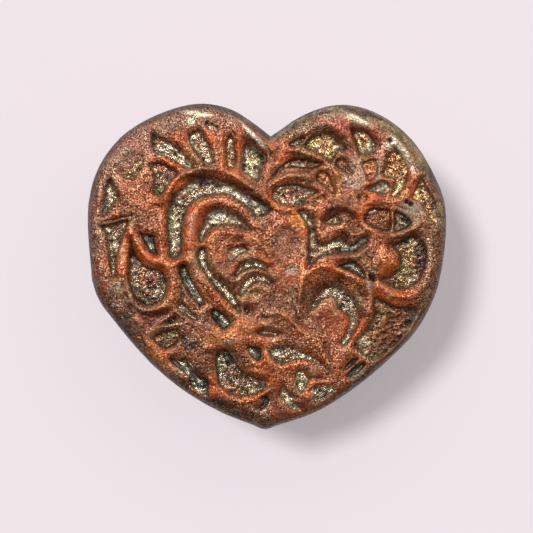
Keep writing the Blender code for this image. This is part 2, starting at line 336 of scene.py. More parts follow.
        "28.2,-2.8 28.4,-3.8 29.9,-4.9 31.8,-5.7 33.9,-5.9 36.3,-5.1 38,-3.6 38.8,-1.7 39.9,0.1 40.3,2.4 "
        "40.1,5.2 39.3,6.9 38,8.3"),
    "rough_patch": (0.9, 0.5, "rough",
        "26.5,-7.2 28.8,-8.1 30.9,-9.1 33.1,-9.8 35.2,-9.6 38,-10.3 37.5,-12.1 35.2,-15.9 33.2,-18.5 "
        "30.4,-21.1 26.6,-23.8 24.6,-22.8 22.7,-21.3 21.3,-19.4 23.8,-16.2 26.1,-12.8 26.3,-10"),
    "swirl_patch": (0.8, 0.55, "pale",
        "-9.9,3.5 -9,4.8 -7,5.1 -5,4.5 -5.2,3.6 -7,2.8 -8.2,1.6 -9.3,1.1 -10,2.2"),
    "striped_leaf": (0.8, 0.45, "copper",
        "13.7,23.8 15.4,23 16,21.5 16.9,19.4 16.9,17.9 15.6,18.7 13.9,20.2 12.4,21.5 12.1,22.6"),
    "leaf_dish": (0.5, 0.55, "copper",
        "14.9,17.5 13.2,17.7 11.1,17.3 9.4,15.7 10.2,14.9 12.4,14.9 13.9,15.8"),
    "small_dish": (0.4, 0.5, "copper",
        "22.3,17.2 23.1,18.2 24.5,18.3 25.3,17.2 24.5,16.2 23.1,16.2"),
}

# Slits made with one stroke of the needle: (depth, half width, finish, middle line).
SLITS = [
    (1.1, 0.75, "teal", "-2.5,-16.5 0.2,-16.5 3,-16.9"),
    (1, 0.7, "black", "19.3,-25.8 21,-24.2 22.6,-22.9"),
    (1.1, 0.95, "black", "19.8,-27.6 22.2,-25.8 24.6,-24"), (1, 0.85, "teal", "5.4,30.2 7.3,31 9.5,32.2"),
    (1.1, 0.9, "silver", "-7.9,-2.4 -6.2,-0.3 -4.2,0.6 -2,0.5 0.2,-0.7"),
    (1.1, 1, "silver", "-6.8,-7.2 -5.5,-5 -3.8,-3.3 -1.6,-2.9 1,-4.1"),
    (0.8, 0.55, "silver", "-3.9,-6.8 -2.9,-6.5 -1.9,-6.7"),
    (0.6, 0.35, "silver", "-15.1,-8.5 -14.3,-9.6 -13.5,-10.6"),
    (0.6, 0.3, "dark", "-21.2,-6.4 -19.4,-8.6 -17.6,-10.9"),
    (0.6, 0.4, "dark", "9.8,-27.8 12.2,-27.9 14.8,-28.1"),
    (0.5, 0.35, "dark", "13,-29.6 14.4,-29.5 15.9,-29.6"),
    (0.5, 0.4, "dark", "-21.1,-5.3 -21.2,-7.4 -21.9,-9.6"),
    (0.6, 0.4, "dark", "-41.6,10.9 -38,11.7 -34,12.6"), (0.7, 0.45, "silver", "0.7,28.6 1,27.2 0.7,25.8"),
    (1, 0.75, "hole", "25.4,-1.9 26.2,-2.8 27,-3.7"),
    (0.6, 0.35, "dark", "14.3,-19.4 15.2,-21.8 16.3,-24.4"),
    (0.4, 0.3, "silver", "5.6,-12.6 7,-13.9 8.4,-15.3"),
    (0.9, 0.45, "black", "24.8,11.4 26.4,10.2 28.6,9.4 30.6,9"),
    (0.5, 0.3, "dark", "-5.5,-36.6 -4,-37.5 -2.4,-38.3"),
    (0.5, 0.35, "dark", "31.9,15.2 33.6,14.6 35.2,13.7"),
]

# Lines of runny glaze on the floors of the cuts, raised, smoother and painted pale as a highlight:
# (half width, points along it).
STREAKS = [
    (0.45, "-16.2,3.4 -15.8,0.6 -13.4,-3 -10.4,-6.2 -7.6,-10"), (0.3, "-14.4,-3.6 -11.6,-6.8 -8.2,-10"),
    (0.35, "-20.6,-1.4 -19.4,-3.8 -17.8,-6.4 -16.4,-8.8"), (0.25, "-21,-3.6 -19.2,-6.6 -17.4,-9.2"),
    (0.35, "-12.8,-11.6 -11.2,-13.2 -9.9,-14.4"), (0.14, "-30.4,7.8 -28.6,4.2"),
    (0.4, "-27.6,29.4 -25,28.6 -22.4,26.8 -20,25"), (0.3, "-26.4,31 -23.8,29.6 -21.6,27.6 -19.6,25.8"),
    (0.35, "-18.4,32.6 -17,31 -15.8,28.4 -14.8,26.2"), (0.35, "-9.2,31 -9,28.6 -8.9,25.8"),
    (0.4, "-5,27.8 -4.2,25.4 -2.8,23.2"), (0.35, "-5.2,28.9 -3.6,28.4"),
    (0.4, "-39.4,19.4 -39,16.8 -39.6,14.2"), (0.45, "-23,4 -23.2,8 -22.8,11.6"),
    (0.45, "-22.2,16.2 -20.4,18.6 -17.4,20"), (0.5, "-10.6,19.6 -7.6,18 -4.6,16.2 -1.6,14.4"),
    (0.3, "-14,18.6 -10.2,18.9"), (0.5, "-14.6,12.8 -12.6,13.4 -10.2,12.6 -7.8,11.6"),
    (0.3, "-9.4,2 -8.4,3 -7.2,4.4"), (0.25, "-8.6,1.8 -7.4,3"), (0.45, "-7.4,-2.3 -6,-0.7 -4.2,0.1 -1.6,0"),
    (0.45, "-6.2,-6.6 -5,-4.6 -3.6,-3.6 -1.4,-3.3 0.6,-4.2"), (0.4, "-21.6,-10.2 -20,-11 -18.2,-12.4"),
    (0.25, "-21,-9.4 -19,-10.4"), (0.24, "-22.6,-23.4 -20.6,-25 -18.6,-28.4"),
    (0.22, "-19.4,-25.2 -17.6,-27.8 -15.6,-30"), (0.3, "-18.2,-30.6 -16.8,-31 -15.6,-30.8"),
    (0.3, "-11.2,-22.6 -10.2,-25.6 -10.4,-28.6"), (0.35, "-4.2,-21 -3,-22 -2.2,-22.8"),
    (0.45, "1.6,-21.4 3.4,-22.6 5.2,-22.6"), (0.45, "5.2,-21 7.6,-21.6 10.4,-23 12.8,-24"),
    (0.35, "8.2,-27 8.8,-28.6 8.6,-30.4"), (0.3, "9.6,-27.6 9.9,-29.2"), (0.4, "4.6,-31 5.2,-32.8 5,-34.4"),
    (0.35, "5.8,-35 7.6,-34.8"), (0.4, "11.8,-29.2 13.6,-29 15.4,-29.6"),
    (0.45, "13.6,-7 15.6,-6.2 17.8,-7 19.2,-9.4 20.6,-11.4"), (0.35, "21,-13.2 20.4,-15.6 19.2,-18"),
    (0.4, "11.2,3 11.2,6.6 10.6,10 9.2,12.6"), (0.35, "23,6 24.2,7"), (0.35, "14.6,4.4 17,5 19.6,5"),
    (0.18, "20.4,0.4 22.2,-0.6 23.6,-2.2"), (0.4, "2.4,17.6 4,16.4 6.2,16"),
    (0.3, "7.6,16.6 9.4,17.6 11,18"), (0.22, "3.4,24.2 6.2,25.4 9.4,25.2"),
    (0.35, "10.6,30.4 12.4,30 14.4,31.2"), (0.3, "16.8,29.2 18.4,30.4"),
    (0.3, "22.6,32.2 23.4,30.4 23.6,28.8"), (0.3, "25.2,30.4 25.8,29"), (0.3, "31.4,26.4 32.2,24.2"),
    (0.4, "33.4,21 32.6,18.8"), (0.25, "39.4,17.8 40.2,15.6 41.4,13"),
    (0.35, "26.4,18.4 28.2,19.2 29.8,19.4"), (0.3, "25.8,13.4 27.2,13.8"), (0.26, "33,11 34.4,10.6"),
    (0.2, "33.6,12.2 32.6,12.6"), (0.45, "24.2,-18.4 25.4,-20.2 24.6,-21.6"),
]

# Pinholes in the glaze: (x, y, radius).
PINHOLES = [
    (34.8, 16.1, 0.62), (35.9, 15.6, 0.66), (30.7, 31.5, 0.68), (-15, 35.8, 0.4), (-28.3, 32.6, 0.4),
    (-24.4, 36.4, 0.35), (5, -33.9, 0.4),
]

# Flat floors of the cuts whose wall leans in from one side.
FLOORS = {
    "star_bowl": (
        "-36.6,23 -34.4,21.8 -33,22.2 -31,25 -31.4,25.2 -33.2,23.2 -34.4,22.8"),
    "outer_arch": (
        "-24,3.4 -24.3,9.6 -24.2,13.9 -22.9,16.6 -21.7,17.9 -19.7,19 -17.6,20 -15,20.6 -12.1,20.5 "
        "-9.9,19.8 -7.4,18.3 -2.2,15.2 1,13.9 -2.7,12.8 -4.4,14.7 -8.4,17.4 -10.4,18.4 -14.5,18.1 "
        "-17.9,16.9 -20.2,14.6 -21.5,10.1 -21.7,4.3 -22.2,2.9 -23.3,2.4"),
    "inner_arch": (
        "-16.4,6.4 -16.8,8 -15.3,10.2 -14.2,12.5 -12.4,13.4 -10,12.9 -6.4,10.9 -4.4,9.2 -6.6,10.3 "
        "-9.2,10.7 -13,10.3 -14.8,9.3 -15.9,7.3"),
    "petal_4": (
        "-5.4,29 -4,29.4 -2.8,28 -1.1,26.8 -1.9,24.4 -2.7,22 -5.8,23.9"),
    "dome_petal": (
        "9.9,29.8 10.4,31.2 12,32.2 14,32.6 16.6,31.8 18.6,29.6 17.6,29.6 15.9,26.8 12.4,28.6"),
    "upper_petal": (
        "21.9,33.4 23.4,33.8 25.2,33 26.1,31.4 26.2,29.7 24.6,28.9 23.4,28.8 22.7,30.3"),
    "big_crescent": (
        "36.2,7.1 34,6.2 32.2,5 33.3,3.6 33.8,1.6 33.3,-0.6 31.8,-2.2 30,-3.4 31.5,-4.6 33.9,-5.3 "
        "36.2,-4.6 37.8,-3 38.7,-1 39.3,2 38.9,5"),
    "rough_patch": (
        "27,-8.5 29.5,-9.2 32,-10.3 34.8,-10.5 37.1,-11 34.8,-15.4 32.6,-18.2 29.8,-20.8 26.6,-22.9 "
        "22.8,-20.4 22.3,-19.3 24.8,-16 26.9,-12.4"),
    "valley": (
        "8.2,13.7 10,11.1 10.9,7.2 10.9,1.2 13.4,2.9 17.6,4 21.2,4.1 23.4,5.4 24.8,6.8 23.2,6.6 21,4.9 "
        "18.6,6.2 16.8,6.4 14,5.2 12.2,6.2 11.6,9.4 10.4,12.6"),
}

# Long hollows with soft sides: (depth, rim outline, outline of the lowest part).
HOLLOWS = [
    (0.9,
     "8.4,-9.5 8.3,-5.5 8.9,-3 10.7,-0.9 13.5,-0.2 17,-0.4 20,-1.9 24.6,-3.7 25.7,-6 26,-9 25.5,-12 "
     "23.5,-15 21.5,-17.5 15,-18 10,-14",
     "11.6,-9.6 13.2,-6.4 17,-5 20.5,-6.8 22.6,-10.4 21.8,-13.6 20,-16 16,-15 12.5,-12.5"),
    (0.7,
     "12.8,8.4 13.4,12.6 16,15 19.5,15 23.3,12.8 24.4,9.5 23.6,8.2 21.2,8.1 19.6,10 18.2,12.4 15.4,11 "
     "14.2,8.3",
     "13.6,9.4 14.6,12.4 17,13.6 20,12.8 22.6,10.6 22.8,9 21.4,8.9 19.8,11.2 18.6,12.6 15,11.4"),
    (0.5,
     "0.3,6.5 1.4,10.2 4.6,11.4 8,9.2 9,5.4 7.8,1.8 5,0.6 2.1,3.2",
     "2.6,6.4 3.8,8.6 6.2,7.8 7,5 5.4,3.2 3.4,4.2"),
    (0.6,
     "-33,-10.5 -29,-10.8 -24.5,-9.6 -22.4,-11 -23.4,-12.4 -27.5,-14.6 -30.4,-16.4 -31.4,-14.4",
     "-30.6,-12.4 -28,-12.4 -25.4,-11.8 -27.4,-13.4 -29.6,-14.6"),
]

# Ridges and creases: (height, half width, points along it).
RIDGES = [
    (0.45, 0.9,
     "-26,3 -26.3,9 -25.8,14 -24,20.2 -21.9,22.4 -17.6,23.9 -12.5,24 -9.9,23.2 -7.4,21.9 -4.8,20 -2.7,18.5 "
     "-0.6,16.8"),
    (0.35, 1.3,
     "-9,-11 -12,-8 -15,-4 -17.5,0 -18.8,4 -19,8 -18.3,12 -16,15.2 -13,16.5 -10,16.3 -7,15 -4.5,12.5 "
     "-2.8,10.2"),
    (0.3, 0.5, "-11.4,15.2 -9.1,14.7 -6.9,13.2 -4.8,11.3 -3.5,9.9"),
    (0.5, 1.2, "-33.6,8.2 -31.7,4.6 -29.8,2.5 -28.3,1.8 -25.9,1.1 -23.8,0.6 -21.5,1.3 -20.2,1.6"),
    (0.45, 1.1,
     "-24.2,-0.2 -23.4,-2.5 -23.2,-5.2 -23.8,-7.6 -25.6,-9.8 -28.4,-10.9 -31.2,-10.4 -33.6,-8.8"),
    (0.35, 0.6, "-35.1,2.4 -35.3,-2.1 -35,-4.5 -34.3,-6.4 -33.2,-8.2"),
    (0.3, 0.8, "-36.3,9.4 -36.6,4 -36.7,-1.4"),
    (0.35, 1.4, "-13.6,5.8 -13.4,2.4 -12.2,-0.4 -9.8,-2.6 -7.6,-3.8"),
    (0.4, 1.3, "-14.2,7.2 -12.6,8.3 -9.8,8.6 -7,8 -4.6,6.6"),
    (0.3, 0.7, "-8.4,-1.4 -7,0.6 -5,1.7 -2.4,1.8 0.3,0.8"),
    (0.3, 0.7, "-7.7,-3.4 -6.2,-1.9 -4.4,-1.2 -2,-1.1 0.2,-2.1"),
    (0.25, 0.6, "-4.9,-6.2 -3.6,-5.2 -1.6,-5.2 0.2,-6.2"),
    (0.4, 0.8, "2,14.3 5,14.2 7.3,13.2 9.2,11 10,8 9.8,4 9.3,0 8.3,-4 7.8,-8"),
    (0.2, 0.4, "1.4,1.2 2.5,-0.2 3.5,-2.8 5,-6 6.2,-9.6"),
    (0.4, 0.35, "-2.7,6.8 -1.4,5.2 -0.2,3.8 1.3,1.2"), (0.4, 0.35, "2.6,-11.2 5,-12.6 7,-14.4 8.6,-16.2"),
    (-0.2, 0.35, "3.4,-12.2 5.4,-13.8 7.4,-15.6"), (0.3, 0.3, "14.2,-15 14.9,-18 15.8,-21 16.7,-24.4"),
    (0.3, 0.3, "6.1,-6 6.6,-8.2 7.2,-10.4"), (-0.3, 0.3, "5.4,-6.4 6,-8.8 6.6,-10.8"),
    (0.5, 0.9,
     "7.6,-12 8.1,-8.5 8.3,-5.5 8.9,-3 10.9,-0.8 13.6,0.2 17,-0.4 20,-1.9 23,-3.2 24.8,-3.8 25.6,-6 "
     "26,-8.6 25.6,-11.4"),
    (0.35, 0.8, "11.4,1 13.4,2.1 16.8,2.4 19.8,2.2 22.4,2.6 24.6,4.6"),
    (0.35, 0.8,
     "-2.5,-11.9 0.6,-11.7 3.2,-11.9 6.2,-14.1 9.2,-16.8 12.9,-19 14,-21.5 15.2,-23.9 16.7,-24.7"),
    (0.3, 0.7, "19,11.6 20.2,9.8 21.2,8.4 22.6,7.8"),
    (0.45, 0.9, "26.4,-2.6 27.6,-3.9 28.8,-5 30.1,-6 31.8,-6.9 33.9,-7.5 36.6,-7.2 39,-5"),
    (0.25, 0.6, "38.6,-10.2 36.8,-14.6 33.4,-19.8 29.4,-22.6 26.8,-24.4"),
    (0.35, 0.6, "24,10.2 25.6,9.3 27.9,8.1 30.1,7.6 32.6,8 35.6,9.2"),
    (0.4, 0.4, "31.1,14.3 31.4,12 31.3,9.2"),
    (0.35, 0.7, "35,20.3 37.4,22.6 39.4,23.2 41.2,20.6 42.6,17.2"),
    (0.3, 0.5, "20.2,35.2 21,32.2 21.9,29.8 22.3,27.6"),
    (0.25, 0.6, "28.2,21.9 26.2,20.9 23.8,20.2 21.8,19.4"), (0.25, 0.5, "23.2,26.6 23,24.4 24,22"),
    (0.3, 0.6, "4.6,28.9 8.2,28.8 11.2,27.9 15,25.7"), (0.35, 0.8, "1.4,20.8 4.4,22.2 8.4,22.6 11.8,22"),
    (0.3, 0.5, "16.9,27.2 16.5,25.6 17.1,23.6 17.5,21 17.8,18.8"),
    (0.3, 0.6, "-14.3,-28.1 -11.9,-29.8 -10.2,-32 -8.7,-33 -6.6,-33.5 -4.1,-33.3 -2.1,-32.2 -0.2,-31.2"),
    (0.3, 0.5, "0,-22.2 1.1,-23.6 2.6,-24.9 5,-25.1"),
    (0.25, 0.5, "-4.9,-22.4 -3.8,-23.6 -2.2,-24.4 -0.8,-23.4"),
    (0.3, 0.4, "-22.6,31.4 -20.8,30.6 -18.6,28 -16.6,25.6"), (0.25, 0.3, "-20.1,32.6 -18.9,29.6 -17,26.8"),
    (0.25, 0.5, "-16.6,35.6 -14.9,32.8 -13.4,30.2 -12.5,26.6"), (0.25, 0.5, "-7,31.6 -6.9,28 -7.1,24.4"),
    (0.2, 0.5, "-11.3,32 -11.2,28.6 -11,25.4"), (0.2, 0.5, "-6.5,34.9 -4,33.8 -1.6,31.8 0.4,30"),
    (0.25, 0.6, "-42,22.4 -41.6,18.4 -42,13.6"), (0.25, 0.5, "-24.8,-22.6 -23.6,-25.4 -21.4,-28"),
    (0.3, 0.4, "-22,-25 -20.2,-26.6 -18.4,-28.4"), (0.3, 0.4, "-19.6,-24.4 -18.2,-26.4 -16.2,-28.6"),
    (0.25, 0.5, "-22.6,-11.2 -20.4,-12.9 -18.2,-14.4"), (-0.35, 0.5, "-26.2,14.2 -27.6,15 -28.8,14.6"),
    (-0.3, 0.5, "2.9,29.9 2.2,27.4 0.9,24.6"), (-0.3, 0.7, "14.6,-16 15.6,-19.5 15.8,-22.8"),
    (-0.25, 0.4, "10.3,0.2 8.8,-2.4 7.7,-5.4 7.2,-9 6.9,-12.6"), (-0.25, 0.6, "26.2,5.2 27,3.6 26.2,1.6"),
    (-0.25, 0.5, "22.8,15.8 24.4,15 26,15.4"),
]

# Rounded bosses and dips: (height, x, y, half length, half width, turn in degrees if any).
BOSSES = [
    (0.5, 30, 1.5, 2.6, 2.2), (0.35, -17.4, -24.2, 3.4, 2.2, -60), (0.45, 38.8, 4, 2, 3.6, 10),
    (0.3, -34.4, 18.2, 4.2, 3, -30), (0.25, -9.4, -17.4, 5, 3, -20), (0.3, 15.6, -12.2, 3.2, 2.8),
    (0.25, -29.8, 13.6, 3, 2.6), (-0.15, 6.4, -0.6, 1.6, 1.4), (-0.35, -7.2, 6.6, 2, 0.9, 10),
    (0.3, -2.6, -14.4, 5, 2), (0.35, 4.6, 17.6, 3.4, 1.4, 10), (0.25, 26.6, 6.2, 2.4, 1.6, 20),
    (-0.25, 25.6, 3.4, 1, 0.5, -35), (-0.35, 9, -26.2, 0.7, 0.6), (0.2, 12.6, -20.6, 2.6, 1.4, -25),
    (0.25, -23.6, -5, 1.8, 4), (-0.25, 11.2, -30.9, 1.6, 0.7, 20), (0.25, 19.6, -20.6, 3, 1.8, 20),
    (-0.2, -15.4, -12.9, 0.5, 1.3, 10), (0.25, 7, 29.6, 2.4, 0.8, 5),
]

# Runs of glossier glaze on the shoulder, painted pale as a highlight: (x, y, half length, half width,
# turn if any).
SHINES = [
    (-17.2, 38.1, 3.6, 0.6, -6), (-19, 36.2, 1, 0.8), (22.6, 36.5, 3.2, 0.9, -22),
    (30.8, 30.6, 1.4, 1.2, -40), (33.6, 28, 5.2, 1.3, -56), (-3.2, 32.4, 4.8, 0.45, -46),
]

# What covers the floor of a cut: (colour, metal, roughness, height of its stippling).
FINISHES = {
    "silver": ("#aba08b", 0.85, 0.17, 0.30),
    "gold": ("#a8906a", 0.80, 0.19, 0.28),
    "olive": ("#6e6448", 0.75, 0.20, 0.20),
    "teal": ("#7f7a66", 0.90, 0.15, 0.18),
    "dark": ("#5a4c3c", 0.50, 0.30, 0.20),
    "mixed": ("#8e7a66", 0.75, 0.19, 0.28),
    "pale": ("#c8ba9c", 0.75, 0.17, 0.30),
    "honey": ("#c29c6c", 0.75, 0.18, 0.28),
    "black": ("#45443c", 0.75, 0.14, 0.12),
    "hole": ("#0d0c0b", 0.00, 0.50, 0.00),
    "rough": ("#80603f", 0.65, 0.26, 0.34),
    "amber": ("#74421e", 0.70, 0.16, 0.10),
    "bronze": ("#6e4c30", 0.75, 0.20, 0.14),
    "copper": ("#bc7852", 0.70, 0.22, 0.20),
    "grey": ("#8c7c68", 0.45, 0.36, 0.16),
}

# Colours of the raised clay, in soft patches, mostly fired colours with some painted shade and highlight:
# (colour, strength, x, y, half length, half width, turn if any).
PATCHES = [
    ("#7c5042", 0.85, -33, 31, 14, 5.5, 42), ("#7e5245", 0.8, -15, 37.4, 14, 3.4),
    ("#6c463a", 0.7, -41.5, 12, 3.4, 12), ("#8e463a", 0.7, 20, 35.6, 9, 3, -12),
    ("#94493c", 0.6, 27.5, 31, 3, 6, 20), ("#8c6c58", 0.5, 8, 36, 6, 2.4, 25),
    ("#863a14", 0.95, -32, 20.6, 6, 4), ("#94624e", 0.6, -34, 26.6, 3, 2.4, 30),
    ("#a84e1e", 0.6, -29, 1.6, 8, 2, -18), ("#b25a26", 0.6, -23.6, -5, 2.2, 6),
    ("#a85026", 0.5, -12, 6, 6, 5), ("#ae5222", 0.6, 16, 0, 8, 2.2),
    ("#b25622", 0.6, 29.6, 1.8, 3.4, 4.4), ("#803a1c", 0.65, 15.8, -13, 4.5, 5),
    ("#a84e22", 0.5, 19, -21, 5, 3.6, 25), ("#b46a3c", 0.65, -9, -16.6, 7, 3.6, 20),
    # The gold patch at (7.4, 11.4) is a painted highlight on the crest beside the valley.
    ("#a8562a", 0.5, 5, -26.6, 5, 3), ("#bd7428", 0.8, 7.4, 11.4, 2.6, 1.6, -40),
    ("#bd7428", 0.6, -14, 6.4, 1.6, 1.6), ("#bd7a34", 0.7, -26.6, -23.4, 4.6, 1.2, -44),
    ("#b57034", 0.6, 17.6, 20.8, 1.4, 4), ("#5e2e1c", 0.8, -27.6, -13, 5.6, 2.8, -25),
    ("#5c2b18", 0.55, 16.4, -4.4, 5, 1.1), ("#b4561e", 0.6, 14.6, -1.4, 4, 1.6, -8),
    ("#5c2b18", 0.7, 24, -9.4, 1.8, 5, 10), ("#602f1c", 0.65, 8.6, -19, 7, 1.4, -18),
    ("#602c18", 0.7, 17.6, 12.6, 4.6, 2.6, -10), ("#642f1c", 0.6, -7.6, -24, 3.4, 2, -45),
    ("#5c3020", 0.7, 12.4, -25.6, 4.4, 1.6), ("#6c3520", 0.6, -9.6, -3.6, 3, 1.4, -40),
    ("#4a2a1e", 0.85, -7, -36, 12, 2.6, -18), ("#472c20", 0.6, 24, -29, 9, 2, 38),
    ("#432c22", 0.65, -36, -13, 3.6, 9, -38), ("#4a2e22", 0.65, -20, -27, 4, 6, -50),
    # The dark patches at (-12, 21.2), (-2.6, 16.4), (-24, 14) and (-10.2, 13.4) are painted shade on the
    # upper and left walls of the two arches.
    ("#542a1c", 0.8, -12, 21.2, 10, 1, -14), ("#4e281a", 0.8, -2.6, 16.4, 3.6, 0.9, -36),
    ("#542a1c", 0.7, -24, 14, 1, 6, -8), ("#582c1c", 0.7, -10.2, 13.4, 5, 0.9, -20),
    ("#121317", 0.9, -20.6, -18.2, 0.9, 2.2, 10), ("#121317", 0.9, -18.6, -19.4, 0.9, 1.5, -10),
    ("#26262a", 0.7, -38, -9.6, 1.4, 1.8), ("#2a2828", 0.7, -36, -12.8, 1, 2, -40),
    ("#26262a", 0.75, -12.4, -34.4, 2.4, 0.8, 20), ("#24242a", 0.6, 15.8, -26.4, 0.8, 1.4, 20),
    ("#2c2828", 0.6, -0.6, -39.2, 3, 0.8), ("#40302a", 0.8, -3, 31.6, 4, 1.4, -35),
    ("#6b655a", 0.6, -9.6, -18.8, 1.6, 0.9), ("#5c544c", 0.5, -15.6, -13, 0.5, 1.2),
    ("#9c6a54", 0.6, -18.6, 11, 1.6, 4, -10), ("#804c38", 0.6, -32.2, 14.2, 3.2, 2.6),
    ("#b4602c", 0.6, 5, -12.6, 3.4, 1.8, -35), ("#6c3a24", 0.5, 4.6, -4.4, 3, 3),
    ("#7a4430", 0.5, -28.6, 11.6, 2.6, 2.2), ("#8a4426", 0.5, -11.8, 28.6, 1.2, 3),
    ("#5a3020", 0.5, 1, -35, 5, 2), ("#a89e8a", 0.7, 6, -0.6, 1.6, 1.2, 30),
    ("#c08038", 0.7, -3, -6.4, 2.2, 1.2, 10), ("#7c5a46", 0.45, 6.4, -9, 1.4, 5, 15),
    ("#b0582a", 0.6, -1.8, 5, 2.4, 8, 25), ("#7e4e38", 0.5, 4.2, 5.6, 4, 3.4),
    ("#4a2a36", 0.85, 38.6, 3.6, 1.6, 3.6, 5),
]

# Colours of the glaze on the floors of the cuts, given in the same way, with some painted shade and painted
# light among them.
FLOOR_PATCHES = [
    # Painted shadow: the dark patches at (36, -12.2) and (31, -9.4) along the top of the rough patch.
    # Painted glints: the pale patch at (23.8, -18.6).
    ("#7e3e28", 0.75, 31.2, -16, 6.4, 3.4, 50), ("#33261c", 0.8, 36, -12.2, 2.6, 1.4, 50),
    ("#b8ac90", 0.6, 23.8, -18.6, 1.6, 1.6), ("#2c2a1c", 0.8, 31, -9.4, 5, 0.8, -14),
    ("#452a32", 0.85, 38.4, 3, 2, 3.4, 5), ("#4a3420", 0.75, 34.6, 6.8, 2.6, 1, 20),
    ("#8c8272", 0.5, 36.6, -3.4, 1.6, 1.8), ("#7a5a34", 0.7, 32.6, -3.6, 2.6, 1.8),
    ("#6e5232", 0.6, 36.2, -0.6, 2.4, 2.4), ("#a0602e", 0.8, 36.6, 1.2, 1.2, 0.9, 40),
    ("#8a6a44", 0.6, 35, 3.6, 1.6, 2.4), ("#dccf9e", 0.8, -3.8, 26, 1.9, 3.4, -15),
    ("#8a4a2a", 0.8, -3, 24.6, 0.9, 0.8), ("#8a5a3a", 0.6, -4.6, 27.4, 0.7, 0.7),
    ("#4a3826", 0.8, -0.6, 27.8, 1.6, 2.4, -40), ("#7a4532", 0.65, -29.6, -3.4, 2.6, 2),
    ("#45432c", 0.8, -29.4, -8.6, 2.6, 1.1), ("#3a3a34", 0.7, -33, 3, 1, 3.4, 15),
    ("#34322a", 0.85, -10, -22.8, 1.5, 2.4, 10), ("#9aa58a", 0.8, -11.8, -25, 0.6, 2.4, 8),
    ("#b8a898", 0.7, -17, -31, 1.5, 0.7, -30), ("#9a5a42", 0.5, -26, 24.2, 3, 1.2),
    ("#6a6234", 0.8, -27.2, 19, 1.5, 1.3), ("#9c5a34", 0.75, 31.8, 25, 1.9, 2.8),
    ("#a89c58", 0.75, 32.8, 19.6, 1.2, 1.8), ("#a86c30", 0.7, 22.6, 31, 0.8, 2.6, 10),
    ("#cfc6b0", 0.6, 25.8, 30, 1.2, 1.6), ("#9a6a44", 0.6, 14.2, 30.4, 2.6, 1.4, -20),
    ("#c2a850", 0.7, 11, 30.4, 1.2, 0.8), ("#8c5a3c", 0.6, 40.6, 15.2, 1.2, 3, 25),
    ("#9a9068", 0.6, -23.6, 12, 1, 5), ("#8e4e36", 0.7, -21.4, 17.6, 1.4, 1, 40),
    ("#8e4e36", 0.6, -16.4, 19.4, 1.6, 0.7, 20), ("#8e4e36", 0.6, -22.8, 4.6, 0.8, 0.8),
    ("#8a5038", 0.6, -37.4, 8.6, 0.9, 1), ("#5c5a44", 0.6, -38.2, 2, 0.9, 3.6),
    # The pale patch at (-8.6, -8.8) is a painted highlight in the long slot.
    ("#96a294", 0.6, -8.6, -8.8, 1, 2.4, -40), ("#7c5038", 0.6, 7, 18.4, 3, 1.2, 10),
    ("#8c4c30", 0.6, 25.8, 23.8, 1, 1.2), ("#7a5a3c", 0.6, 17.6, 6.6, 3, 1),
    ("#8e5038", 0.6, -5, -29.4, 3, 1.2, 10), ("#4c4a34", 0.7, 3, -23.4, 2, 0.8),
    # The near-white patches at (-12.4, 13.2) and (-7.6, 11.8) are painted light on the inner arch's pale
    # glaze.
    ("#b07a58", 0.5, -16.6, 30.4, 1.2, 2.6, 20), ("#ece2ca", 0.65, -12.4, 13.2, 3.8, 1.8, -12),
    ("#dcb89e", 0.55, -7.6, 11.8, 2.6, 1.2, -32), ("#1c1a16", 0.8, -30, 6.4, 1.6, 3, -60),
    ("#9a9884", 0.6, -3.4, -30, 3.4, 1.4), ("#b87448", 0.7, 11.6, 6.6, 1.2, 6),
    ("#a8744c", 0.6, 15.6, 4.6, 3.4, 0.8, 8), ("#dc8a5c", 0.85, 25.8, 24.4, 2.2, 2.8),
    ("#2e2a18", 0.85, 34.2, 11.4, 2.2, 3), ("#96542f", 0.8, 12, 16.4, 3, 1.6),
    ("#7e5236", 0.7, 19.2, 24.8, 2, 2), ("#d0a070", 0.5, 13.4, 32, 3, 1.4),
    ("#3a2a18", 0.6, 13.4, -33, 2.6, 0.6, 20), ("#c4b490", 0.5, 14.6, -30.6, 2.4, 0.6, 5),
    ("#c08a64", 0.5, -8.4, 3.4, 1.6, 1, 30), ("#5a361a", 0.8, 8, 25.4, 5.4, 1.3, 10),
    ("#43301a", 0.7, 21.4, -1.4, 2.8, 1.8, -35),
]

# Thin, dull glaze where the clay shows through, given in the same way.
DULL_PATCHES = [
    ("#9a7a68", 0.8, 21.6, 23, 3, 4.6, 10), ("#8c7666", 0.85, 36.2, 13.6, 3.6, 3.2, -30),
    ("#9a7f6e", 0.6, 27.6, 23.6, 1.2, 3.6), ("#342e26", 0.95, 25.4, -4.4, 0.9, 1.6),
    ("#544c40", 0.85, 26.4, -0.6, 1.2, 0.6, 35), ("#5c5448", 0.75, 25.4, 3.3, 1.1, 0.6, -35),
    ("#77705c", 0.7, 22.6, -27.2, 2.2, 1, 35), ("#857a6c", 0.7, -37.6, -5.4, 1.8, 1.8),
    ("#574b3c", 0.7, 22.6, -7.4, 0.6, 2.6, 20), ("#8a7464", 0.5, -36.6, 27.4, 3, 2, 40),
]

# Width of the darker band that runs round the rim, glaze with painted shade of the rounded edge, at
# angles about the heart's middle.
RIM_ANGLES = (0, 20, 40, 55, 70, 88, 110, 130, 150, 170, 190, 215, 240, 270, 300, 320, 340, 360)
RIM_WIDTHS = (1.5, 2.0, 2.9, 3.2, 2.4, 1.6, 1.3, 1.1, 0.8, 0.7, 1.1, 1.5, 1.4, 1.5, 1.7, 2.0, 1.7, 1.5)

BRIGHT_COPPER = "#9e481a"
BROWN_COPPER = "#6e391b"
RIM_BROWN = "#4e3420"
RIM_OLIVE = "#6d6247"
# The pale colour painted on runs and shiny runs as a highlight.
PALE_GLAZE_HIGHLIGHT = "#e8dcc0"
POCKET_COPPER = "#94522f"
POOLED_GLAZE = "#2a2416"
